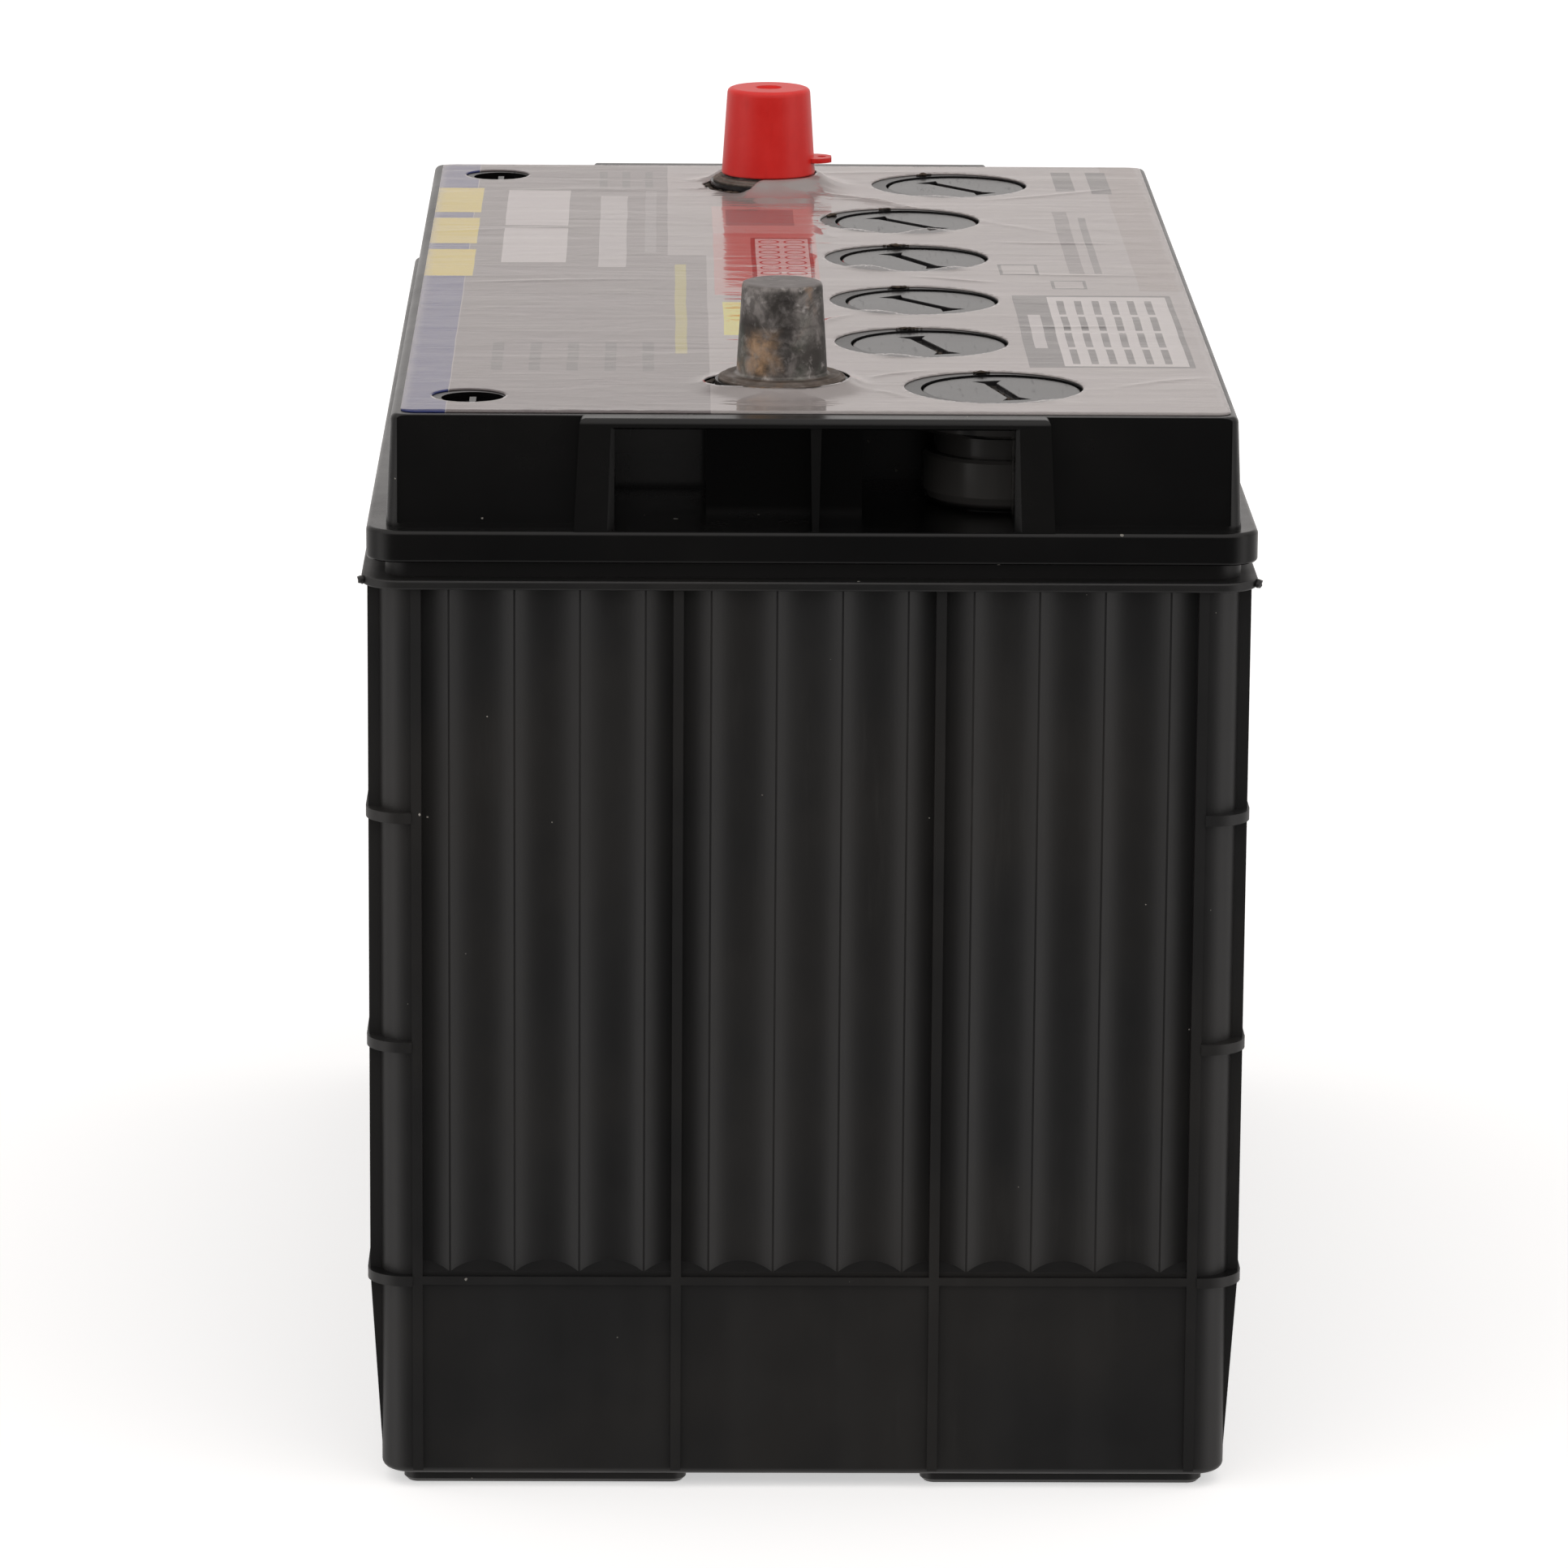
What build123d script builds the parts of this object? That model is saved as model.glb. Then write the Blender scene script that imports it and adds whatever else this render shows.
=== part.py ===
from build123d import *
import math
import os

# ---------------------------------------------------------------------------
# Vented 12 V deep cycle battery, Group 31 size, SAE tapered posts.
# Frame: origin at the centre of the footprint on the plane of the feet,
# X across the width, Y along the length (negative post at -Y), Z up. Units mm.
# ---------------------------------------------------------------------------

# overall
LIP_W, LIP_L = 173.8, 330.0          # cover lip, the nominal Group 31 footprint
LIP_DX = -0.3                        # the lip stands this far off centre
RIM_W, RIM_L = 175.0, 331.2          # jar rim with its heat-seal bead
TOP_Z = 216.8                        # cover top plane
POST_TOP_Z = 237.9                   # tops of the lead posts

# jar
JAR_HX, JAR_HY, JAR_R = 84.2, 162.6, 6.5   # half sizes of the jar body, corner radius
JAR_DX = -0.7                        # moulding offset of the outer faces against the cells
FOOT_H = 2.5
RIM_Z0, RIM_Z1 = 183.2, 185.1
CAV_HX, CAV_HY = 80.4, 158.6         # inside half sizes
FLOOR_Z = 5.6
PART_T = 1.9                         # partition thickness
N_CELL = 6
RIB_W = 2.0                          # outer rib width
END_RIB_Y = 163.6                    # outer face of the ribs on the short ends
SIDE_RIB_X = 86.4                    # outer face of the ribs on the long sides
SKIRT_Z = 42.9                       # band between plain skirt and flutes
BAND_Z = (137.2, 90.8, 42.9)         # side bands that wrap the corners
BAND_T = 2.1
BAND_OUT = 0.5                       # how far the bands stand out past the ribs
FLUTE_PITCH_END, FLUTE_PITCH_SIDE = 12.8, 13.0
FLUTE_D, CREST_FLAT = 1.8, 0.4

# cover
NECK_HX, NECK_HY = 83.6, 161.6
LIP_Z0, LIP_Z1 = 188.4, 194.8
BOX_HX0, BOX_HX1, BOX_HY0, BOX_HY1 = 83.4, 82.4, 161.0, 160.6
BLOCK_HX0, BLOCK_HX1 = 46.8, 45.6    # centre block of each short end, bottom and top
BLOCK_Y0, BLOCK_Y1 = 164.7, 163.9
PLATE_T = 2.5                        # top plate thickness
GRIP_HX, GRIP_Z0, GRIP_Z1 = 38.9, 194.8, 214.7
GRIP_WALL = 2.2
POST_X, POST_Y = -5.8, 128.0
POST_DX = (-0.25, 0.3)               # offsets of the negative and the positive post
BOSS_H = 1.7                         # raised boss under each bushing flange
BUSH_BLOCK = (-21.0, 9.6, 146.0)     # housing round each bushing: x low, x high, |y| of its face
GRIP_BACK_L, GRIP_BACK_R = 120.0, 109.6
BLIND_XY = (-66.8, 141.4)            # moulded blind sockets in the top
BLIND_R, BLIND_DEPTH = 6.2, 3.5

# vents
VENTS = [(37.5, -129.4), (24.8, -78.2), (24.8, -27.4), (24.8, 27.4), (24.8, 78.2), (37.5, 129.4)]
SLOT_ANGLE = (14.0, 18.0, 37.0, 27.0, 40.0, 38.0)   # coin slot, turned from the Y axis
CB_R, CB_Z = 16.05, 213.6             # counterbore
NECK_R, NECK_BORE_R = 13.3, 11.25    # narrow throat that carries the thread lugs
NECK_Z0 = 205.1
BELL_R, BELL_BORE_R, BELL_Z0 = 15.8, 13.6, 192.6
CAP_R, CAP_Z0, CAP_Z1 = 15.75, 214.5, 216.5
THREAD_PITCH, THREAD_RISE = 3.0, 6.6    # right hand; the plug lets go after 2.5 turns
THREAD_CORE_R, THREAD_R = 9.7, 11.0
THREAD_Z0, THREAD_START = 204.2, 25.0   # start of the ridge: height and azimuth
LUG_R, LUG_T, LUG_ARC = 10.1, 0.75, 20.0
SKIRT_R, SKIRT_BORE_R, SKIRT_Z0 = 9.6, 8.3, 190.5

# posts, SAE taper: 1 in 8.73 on the diameter
POST_BASE_Z = 219.6
NEG_R_TOP, POS_R_TOP = 7.95, 8.75
TAPER = 1.0 / 8.73 / 2.0
RISER_R = 6.2

# plate packs
N_NEG, N_POS = 7, 6
T_NEG, T_POS, T_SEP = 2.0, 2.6, 1.5
PACK = 50.0
PLATE_HX = 71.5
PLATE_Z0, PLATE_Z1 = 19.6, 147.5
STRAP_X, STRAP_W, STRAP_Z0, STRAP_Z1 = 45.0, 17.0, 159.5, 165.7
WELD_Z, WELD_R = 173.6, 5.5

CELL_L = (2 * CAV_HY - (N_CELL - 1) * PART_T) / N_CELL
CELL_P = CELL_L + PART_T
CELL_Y = [(-2.5 + i) * CELL_P for i in range(N_CELL)]
PART_Y = [(-2 + i) * CELL_P for i in range(N_CELL - 1)]


def block(x0, x1, y0, y1, z0, z1):
    return Pos((x0 + x1) / 2, (y0 + y1) / 2, (z0 + z1) / 2) * Box(x1 - x0, y1 - y0, z1 - z0)


def rrect(hx, hy, r, z0, z1):
    return Pos(0, 0, z0) * extrude(RectangleRounded(2 * hx, 2 * hy, r), amount=z1 - z0)


def post_x(y):
    return POST_X + POST_DX[1 if y > 0 else 0]


def cyl(x, y, r, z0, z1):
    return Pos(x, y, (z0 + z1) / 2) * Cylinder(r, z1 - z0)


def turned(points, x=0.0, y=0.0):
    # solid of revolution about Z from an (r, z) outline
    face = make_face(Polyline(*[(r, 0, z) for r, z in points], close=True))
    return Pos(x, y, 0) * revolve(face, axis=Axis.Z)


def flute_cutter(pitch, half_n, depth, z0, z1, face):
    # flutes with arc valleys and narrow flat crests along X, cut inwards from the plane y = -face;
    # the lower ends run out on a 45 degree slope
    half = pitch / 2 - CREST_FLAT / 2
    lo = -half_n * pitch
    pts = []
    edges = []
    def arc(a, m, b):
        edges.append(ThreePointArc(a, m, b))
    def line(a, b):
        edges.append(Line(a, b))
    r = (half * half + depth * depth) / (2 * depth)
    def yy(dx):
        return -(face - depth) - (r - math.sqrt(r * r - dx * dx))
    out = -(face + 6.0)
    line((lo, out), (lo, yy(0)))
    x = lo
    n = 2 * half_n
    for i in range(n):
        a = x
        arc((a, yy(0)), (a + half / 2, yy(half / 2)), (a + half, yy(half)))
        line((a + half, yy(half)), (a + pitch - half, yy(half)))
        arc((a + pitch - half, yy(half)), (a + pitch - half / 2, yy(half / 2)), (a + pitch, yy(0)))
        x += pitch
    line((x, yy(0)), (x, out))
    line((x, out), (lo, out))
    face_2d = make_face(Wire(edges))
    body = Pos(0, 0, z0) * extrude(face_2d, amount=z1 - z0)
    # wedge that leaves the sloped run-out
    w = half_n * pitch + 5
    slope = Polyline((-w, out - 2, z0 - 2), (-w, out - 2, z0 + (out - 2 + face)),
                     (-w, -(face - 8), z0 + 8), (-w, -(face - 8), z0 - 2), close=True)
    wedge = extrude(make_face(slope), amount=2 * w, dir=(1, 0, 0))
    return body - wedge


# ------------------------------------------------------------------ jar
def make_case():
    core = rrect(JAR_HX, JAR_HY, JAR_R, FOOT_H, RIM_Z1)
    core = fillet(core.faces().sort_by(Axis.Z)[0].edges(), 1.6)
    z0, z1 = SKIRT_Z + 1.9, RIM_Z0
    end_cut = flute_cutter(FLUTE_PITCH_END, 6, FLUTE_D, z0, z1, JAR_HY)
    side_cut = flute_cutter(FLUTE_PITCH_SIDE, 12, FLUTE_D - 0.2, z0, z1, JAR_HX)
    core = core - end_cut - Rot(0, 0, 180) * end_cut
    core = core - Rot(0, 0, 90) * side_cut - Rot(0, 0, -90) * side_cut
    # ribs on the short ends
    add = []
    for sy in (-1, 1):
        for x in (-76.8, -25.6, 25.6, 76.8):
            y0, y1 = sorted((sy * (JAR_HY - 2.0), sy * END_RIB_Y))
            add.append(block(x - RIB_W / 2, x + RIB_W / 2, y0, y1, FOOT_H + 1.2, RIM_Z0 + 0.5))
        y0, y1 = sorted((sy * (JAR_HY - 2.0), sy * END_RIB_Y))
        add.append(block(-77.8, 77.8, y0, y1, SKIRT_Z - 0.7, SKIRT_Z + 1.0))
    # ribs on the long sides, tapering into the skirt
    for sx in (-1, 1):
        for y in (-156.0, -104.0, -52.0, 0.0, 52.0, 104.0, 156.0):
            prof = Polyline((sx * (JAR_HX - 2.0), y - RIB_W / 2, RIM_Z0 + 0.5),
                            (sx * SIDE_RIB_X, y - RIB_W / 2, RIM_Z0 + 0.5),
                            (sx * SIDE_RIB_X, y - RIB_W / 2, SKIRT_Z),
                            (sx * (JAR_HX - 0.3), y - RIB_W / 2, FOOT_H + 1.0),
                            (sx * (JAR_HX - 2.0), y - RIB_W / 2, FOOT_H + 1.0), close=True)
            add.append(extrude(make_face(prof), amount=RIB_W, dir=(0, 1, 0)))
    # bands that run along the long sides and wrap the corners
    for z in BAND_Z:
        ring = rrect(SIDE_RIB_X + BAND_OUT, END_RIB_Y + 0.3, JAR_R + 1.2, z - BAND_T / 2, z + BAND_T / 2)
        ring = ring - block(-77.8, 77.8, -200, 200, z - 2, z + 2)
        add.append(ring)
    rim = rrect(RIM_W / 2, RIM_L / 2, 8.0, RIM_Z0, RIM_Z1)
    rim = fillet(rim.faces().sort_by(Axis.Z)[0].edges() + rim.faces().sort_by(Axis.Z)[-1].edges(), 0.5)
    add.append(rim)
    # two long skids under the floor
    for sx in (-1, 1):
        x0, x1 = sorted((sx * 23.4, sx * 79.8))
        skid = block(x0, x1, -160.0, 160.0, 0.0, FOOT_H + 0.5)
        skid = fillet(skid.edges().filter_by(Axis.Z), 3.0)
        skid = chamfer(skid.faces().sort_by(Axis.Z)[0].edges(), 0.8)
        for yc in CELL_Y:
            skid = skid - block(x0 + 4, x1 - 4, yc - 22, yc + 22, -1, FOOT_H)
        add.append(skid)
    for s in add:
        core = core + s
    core = Pos(JAR_DX, 0, 0) * core
    # six cell compartments
    for yc in CELL_Y:
        cav = Pos(0, yc, 0) * rrect(CAV_HX, CELL_L / 2, 1.5, FLOOR_Z, RIM_Z1 + 1)
        core = core - cav
    # mud rest ribs that carry the plate feet
    for yc in CELL_Y:
        for x in (-56.0, -22.0, 22.0, 56.0):
            core = core + block(x - 1.2, x + 1.2, yc - CELL_L / 2 - 0.2, yc + CELL_L / 2 + 0.2, FLOOR_Z - 0.5, 17.5)
    # weld holes through the partitions
    for k, py in enumerate(PART_Y):
        sx = 1 if k % 2 == 0 else -1
        core = core - Pos(sx * STRAP_X, py, WELD_Z) * Rot(90, 0, 0) * Cylinder(WELD_R, PART_T + 2)
    return core


# ------------------------------------------------------------------ bushings and posts
def bushing(r_top, y, inward):
    h = POST_TOP_Z - POST_BASE_Z
    r_base = r_top + TAPER * h
    outline = [
        (0, POST_TOP_Z), (r_top - 0.7, POST_TOP_Z), (r_top - 0.2, POST_TOP_Z - 0.2), (r_top, POST_TOP_Z - 0.8),
        (r_base, POST_BASE_Z + 0.5), (r_base + 0.5, POST_BASE_Z),
        (11.5, POST_BASE_Z), (11.7, POST_BASE_Z - 0.2), (11.7, POST_BASE_Z - 0.5),
        (12.45, POST_BASE_Z - 0.5), (12.6, POST_BASE_Z - 0.65), (12.6, TOP_Z + BOSS_H),
        (10.6, TOP_Z + BOSS_H), (10.6, 214.0), (12.0, 213.4), (12.0, 212.2), (10.6, 211.6),
        (10.6, 209.0), (12.0, 208.4), (12.0, 207.2), (10.6, 206.6), (10.6, 199.5), (9.8, 198.7),
        (RISER_R + 0.05, 198.7), (RISER_R + 0.05, 236.3), (0, 236.3)]
    return turned(outline, post_x(y), y)


def make_post(y):
    # cast pillar: rises from the arm of the end strap into the bushing
    p = turned([(0, STRAP_Z1 - 0.01), (10.5, STRAP_Z1 - 0.01), (9.2, STRAP_Z1 + 3.0), (8.2, STRAP_Z1 + 9.0), (RISER_R, STRAP_Z1 + 24.0),
                (RISER_R, 235.4), (RISER_R - 0.8, 236.25), (0, 236.25)], post_x(y), y)
    return p


# ------------------------------------------------------------------ cover
def vent_well(x, y, z_low):
    # counterbored socket: wide rim, narrow threaded throat, bell below with a rounded foot
    out = turned([(0, TOP_Z - 0.4), (18.2, TOP_Z - 0.4), (18.2, 210.6), (16.6, 209.6), (NECK_R, 209.6), (NECK_R, NECK_Z0),
                  (BELL_R - 0.6, NECK_Z0), (BELL_R, NECK_Z0 - 0.6), (BELL_R, 197.6), (BELL_R - 0.5, 196.2),
                  (BELL_R - 1.3, 195.3), (BELL_R - 1.5, 194.9), (BELL_R - 1.5, z_low), (0, z_low)], x, y)
    return out


def vent_bore(x, y, z_low):
    return turned([(0, TOP_Z + 2), (CB_R, TOP_Z + 2), (CB_R, CB_Z), (NECK_BORE_R, CB_Z), (NECK_BORE_R, NECK_Z0 + 1.6),
                   (BELL_BORE_R, NECK_Z0 - 1.2), (BELL_BORE_R, z_low - 2), (0, z_low - 2)], x, y)


def vent_lugs(x, y):
    lugs = None
    for k in range(3):
        a = 120.0 * k
        z = THREAD_Z0 + 1.5 * THREAD_PITCH + THREAD_PITCH * (a - THREAD_START) / 360.0
        ring = cyl(0, 0, NECK_BORE_R + 0.6, z - LUG_T / 2, z + LUG_T / 2) - cyl(0, 0, LUG_R, z - 1, z + 1)
        half = math.radians(LUG_ARC / 2)
        far = 20.0
        pts = [(0, 0, z - 1), (far * math.cos(half), -far * math.sin(half), z - 1),
               (far * math.cos(half), far * math.sin(half), z - 1)]
        sector = extrude(make_face(Polyline(*pts, close=True)), amount=2, dir=(0, 0, 1))
        lug = Pos(x, y, 0) * Rot(0, 0, a) * (ring & sector)
        lugs = lug if lugs is None else lugs + lug
    return lugs


def grip_air(sy):
    # open volume of one hand-grip pocket, on the side sy
    def b(x0, x1, ya, yb, z0=GRIP_Z0, z1=GRIP_Z1):
        y0, y1 = sorted((sy * ya, sy * yb))
        return block(x0, x1, y0, y1, z0, z1)
    air = b(-GRIP_HX, GRIP_HX, BUSH_BLOCK[2], 168.0)
    air = air + b(-GRIP_HX, BUSH_BLOCK[0], GRIP_BACK_L, 168.0)
    air = air + b(BUSH_BLOCK[1], GRIP_HX, GRIP_BACK_R, 168.0)
    return air


def grip_walls(sy):
    t = GRIP_WALL
    def b(x0, x1, ya, yb):
        y0, y1 = sorted((sy * ya, sy * yb))
        return block(x0, x1, y0, y1, GRIP_Z0 - t, TOP_Z - 0.4)
    w = b(-GRIP_HX - t, GRIP_HX + t, BUSH_BLOCK[2] - t, 159.0)
    w = w + b(-GRIP_HX - t, BUSH_BLOCK[0] + t, GRIP_BACK_L - t, 159.0)
    w = w + b(BUSH_BLOCK[1] - t, GRIP_HX + t, GRIP_BACK_R - t, 159.0)
    return w


def make_cover(neg_b, pos_b):
    neck = rrect(NECK_HX, NECK_HY, 5.5, RIM_Z1, LIP_Z0 + 0.5)
    lip = rrect(LIP_W / 2, LIP_L / 2, 6.5, LIP_Z0, LIP_Z1)
    lip = fillet(lip.faces().sort_by(Axis.Z)[0].edges(), 0.8)
    lip = Pos(LIP_DX, 0, 0) * fillet(lip.faces().sort_by(Axis.Z)[-1].edges(), 0.9)
    lower = Pos(0, 0, LIP_Z1 - 0.5) * RectangleRounded(2 * BOX_HX0, 2 * BOX_HY0, 3.6)
    upper = Pos(0, 0, TOP_Z) * RectangleRounded(2 * BOX_HX1, 2 * BOX_HY1, 3.2)
    box = loft([lower, upper])
    box = fillet(box.faces().sort_by(Axis.Z)[-1].edges(), 1.3)
    body = neck + lip + box
    for sy in (-1, 1):
        # shallow panels either side of the centre block, open at the top
        for sx in (-1, 1):
            x0, x1 = sorted((sx * 44.0, sx * 81.1))
            y0, y1 = sorted((sy * (BOX_HY1 - 0.75), sy * 168.0))
            panel = block(x0, x1, y0, y1, LIP_Z1 + 0.7, TOP_Z + 2)
            body = body - panel
        # centre block
        s0 = Pos(0, sy * (BLOCK_Y0 + 150) / 2, LIP_Z1 - 1.0) * Rectangle(2 * BLOCK_HX0, BLOCK_Y0 - 150)
        s1 = Pos(0, sy * (BLOCK_Y1 + 150) / 2, TOP_Z) * Rectangle(2 * BLOCK_HX1, BLOCK_Y1 - 150)
        blk = loft([s0, s1])
        top = blk.faces().sort_by(Axis.Z)[-1]
        es = [e for e in top.edges() if abs(e.center().Y) > 150.5 or abs(e.center().X) > 40]
        es = [e for e in es if abs(abs(e.center().Y) - 150) > 0.5]
        blk = fillet(es, 1.1)
        body = body + blk
    # hollow underside
    hollow = rrect(CAV_HX, CAV_HY, 1.5, RIM_Z1 - 1, 192.4)
    hollow = hollow + rrect(79.0, 157.4, 1.5, 192.0, TOP_Z - PLATE_T)
    for sy in (-1, 1):
        hollow = hollow - grip_walls(sy)
    for x, y in VENTS:
        hollow = hollow - vent_well(x, y, 192.6)
    for sx in (1,):
        for sy in (-1, 1):
            hollow = hollow - cyl(BLIND_XY[0], sy * BLIND_XY[1], BLIND_R + 1.8, TOP_Z - BLIND_DEPTH - 1.8, TOP_Z)
            hollow = hollow - cyl(POST_X, sy * POST_Y, 15.2, 197.0, TOP_Z)
    for py in PART_Y:
        hollow = hollow - block(-CAV_HX, CAV_HX, py - PART_T / 2, py + PART_T / 2, RIM_Z1 - 1, TOP_Z)
    body = body - hollow
    # pockets, with the end vent's well standing in each one and a centre web
    for sy in (-1, 1):
        air = grip_air(sy)
        x, y = VENTS[0] if sy < 0 else VENTS[5]
        air = air - vent_well(x, y, 192.6)
        wy0, wy1 = sorted((sy * 140.0, sy * (BLOCK_Y1 - 0.7)))
        web = loft([Pos(0.2, (wy0 + wy1) / 2, GRIP_Z0 - 0.1) * Rectangle(1.3, wy1 - wy0),
                    Pos(0.2, (wy0 + wy1) / 2, GRIP_Z1 + 0.1) * Rectangle(2.1, wy1 - wy0)])
        air = air - web
        body = body - air
        # bevelled mouth of the pocket
        outer = Plane(origin=(0, sy * 165.0, (GRIP_Z0 + GRIP_Z1 + 1.0) / 2), x_dir=(1, 0, 0), z_dir=(0, -sy, 0)) \
            * Rectangle(2 * GRIP_HX + 3.4, GRIP_Z1 + 1.0 - GRIP_Z0)
        inner = Plane(origin=(0, sy * 163.25, (GRIP_Z0 + GRIP_Z1) / 2), x_dir=(1, 0, 0), z_dir=(0, -sy, 0)) \
            * Rectangle(2 * GRIP_HX, GRIP_Z1 - GRIP_Z0)
        body = body - loft([outer, inner])
    # vent bores and thread lugs
    for x, y in VENTS:
        body = body - vent_bore(x, y, 192.6)
    for x, y in VENTS:
        body = body + vent_lugs(x, y)
    # blind sockets, each with one radial rib
    for sy in (-1, 1):
        x, y = BLIND_XY[0], sy * BLIND_XY[1]
        body = body - cyl(x, y, BLIND_R, TOP_Z - BLIND_DEPTH, TOP_Z + 1)
        body = body + block(x - 0.65, x + 0.65, y - BLIND_R - 0.1, y + 2.5, TOP_Z - BLIND_DEPTH - 0.1, TOP_Z - 0.3)
    # raised boss round each bushing
    for sy in (-1, 1):
        body = body + cyl(post_x(sy), sy * POST_Y, 13.2, TOP_Z - 0.5, TOP_Z + BOSS_H)
    body = body - fill(neg_b, -POST_Y) - fill(pos_b, POST_Y)
    return body


def fill(b, y):
    # the bushing without its bore, for the cavity in the cover
    return b + cyl(post_x(y), y, RISER_R + 0.2, 190.0, 236.0)


# ------------------------------------------------------------------ vent plugs
def threaded_stem():
    # plain stem with a right-hand helical ridge
    helix = Helix(pitch=THREAD_PITCH, height=THREAD_RISE, radius=THREAD_CORE_R)
    rb, rt = THREAD_CORE_R - 0.4, THREAD_R
    prof = make_face(Polyline((rb, 0, -0.95), (rt, 0, -0.5), (rt, 0, 0.5), (rb, 0, 0.95), close=True))
    ridge = Pos(0, 0, THREAD_Z0) * Rot(0, 0, THREAD_START) * sweep(prof, path=helix, is_frenet=True)
    return cyl(0, 0, THREAD_CORE_R, 203.0, 212.0) + ridge


def make_plug(i):
    x, y = VENTS[i]
    head = turned([(0, CAP_Z1), (CAP_R - 0.5, CAP_Z1), (CAP_R - 0.15, CAP_Z1 - 0.15), (CAP_R, CAP_Z1 - 0.5), (CAP_R, CAP_Z0),
                   (THREAD_R + 0.1, CAP_Z0), (THREAD_R + 0.1, 212.4), (THREAD_CORE_R - 0.6, 211.9), (0, 211.9)])
    skirt = cyl(0, 0, SKIRT_R, SKIRT_Z0, 203.2)
    body = threaded_stem() + head + skirt
    body = body - turned([(0, SKIRT_Z0 - 1), (SKIRT_BORE_R, SKIRT_Z0 - 1), (SKIRT_BORE_R, 211.0), (7.0, 212.0), (0, 212.0)])
    # coin slot, flared at both ends
    slot = block(-1.25, 1.25, -9.6, 9.6, CAP_Z1 - 1.2, CAP_Z1 + 1)
    for s in (-1, 1):
        fl = Polyline((-1.25, s * 8.0, CAP_Z1 - 1.2), (1.25, s * 8.0, CAP_Z1 - 1.2), (2.9, s * 10.7, CAP_Z1 - 1.2),
                      (-2.9, s * 10.7, CAP_Z1 - 1.2), close=True)
        slot = slot + extrude(make_face(fl), amount=2.2, dir=(0, 0, 1))
    body = body - Rot(0, 0, SLOT_ANGLE[i]) * slot
    # gas hole in the slot floor
    body = body - cyl(0, 0, 0.6, 210.0, CAP_Z1)
    # drain windows in the skirt
    for a in (0, 90):
        body = body - Rot(0, 0, a) * block(-20, 20, -2.0, 2.0, 193.6, 199.0)
    return Pos(x, y, 0) * body


def make_gasket(i):
    x, y = VENTS[i]
    return turned([(11.35, CB_Z), (14.2, CB_Z), (14.2, CAP_Z0), (11.35, CAP_Z0)], x, y)


def make_baffle(i):
    # splash guard pressed into the skirt: three stacked half discs on a stem, over a base ring
    x, y = VENTS[i]
    r = SKIRT_BORE_R - 0.05
    b = cyl(0, 0, 1.6, 191.0, 210.5)
    for k, z in enumerate((192.0, 200.6, 204.6, 208.4)):
        disc = cyl(0, 0, r, z, z + 1.0)
        if k == 0:
            for a in range(6):
                disc = disc - Rot(0, 0, 60 * a) * Pos(5.0, 0, z + 0.5) * Cylinder(1.5, 3)
        else:
            sx = 1 if k % 2 else -1
            x0, x1 = sorted((sx * 2.2, sx * 20))
            disc = disc - block(x0, x1, -20, 20, z - 1, z + 2)
        b = b + disc
    return Pos(x, y, 0) * Rot(0, 0, SLOT_ANGLE[i]) * b


# ------------------------------------------------------------------ plate packs
def pack_layout():
    gap = (PACK - N_NEG * T_NEG - N_POS * T_POS) / (N_NEG + N_POS - 1)
    neg, pos, sep = [], [], []
    c = -PACK / 2
    for k in range(N_NEG + N_POS):
        t = T_NEG if k % 2 == 0 else T_POS
        (neg if k % 2 == 0 else pos).append(c + t / 2)
        c += t
        if k < N_NEG + N_POS - 1:
            sep.append(c + gap / 2)
            c += gap
    return neg, pos, sep


NEG_Y, POS_Y, SEP_Y = pack_layout()


def plate(t, side, feet_x, z_top):
    # pasted grid: frame standing 0.15 proud of the pasted field, one lug, two feet
    p = block(-PLATE_HX, PLATE_HX, -t / 2, t / 2, PLATE_Z0, z_top)
    for s in (-1, 1):
        y0, y1 = sorted((s * (t / 2 - 0.2), s * (t / 2 + 1)))
        p = p - block(-PLATE_HX + 2.5, PLATE_HX - 2.5, y0, y1, PLATE_Z0 + 2.5, z_top - 3.0)
    p = p + block(side * STRAP_X - 6, side * STRAP_X + 6, -t / 2, t / 2, z_top - 0.5, STRAP_Z0)
    for x in feet_x:
        p = p + block(x - 4, x + 4, -t / 2, t / 2, 17.5, PLATE_Z0 + 0.5)
    return p


def neg_side(i):
    return -1 if i % 2 == 0 else 1


def plates(i, polarity):
    yc = CELL_Y[i]
    side = neg_side(i) if polarity == "neg" else -neg_side(i)
    t = T_NEG if polarity == "neg" else T_POS
    feet = (-22.0, 22.0) if polarity == "neg" else (-56.0, 56.0)
    base = plate(t, side, feet, PLATE_Z1)
    ys = NEG_Y if polarity == "neg" else POS_Y
    return Compound(children=[Pos(0, yc + dy, 0) * base for dy in ys])


def separators(i):
    yc = CELL_Y[i]
    sheet = block(-PLATE_HX - 3, PLATE_HX + 3, -0.3, 0.3, 17.7, PLATE_Z1 + 3.5)
    for x in range(-70, 71, 14):
        sheet = sheet + block(x - 0.5, x + 0.5, -T_SEP / 2, T_SEP / 2, PLATE_Z0, PLATE_Z1)
    return Compound(children=[Pos(0, yc + dy, 0) * sheet for dy in SEP_Y])


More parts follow.
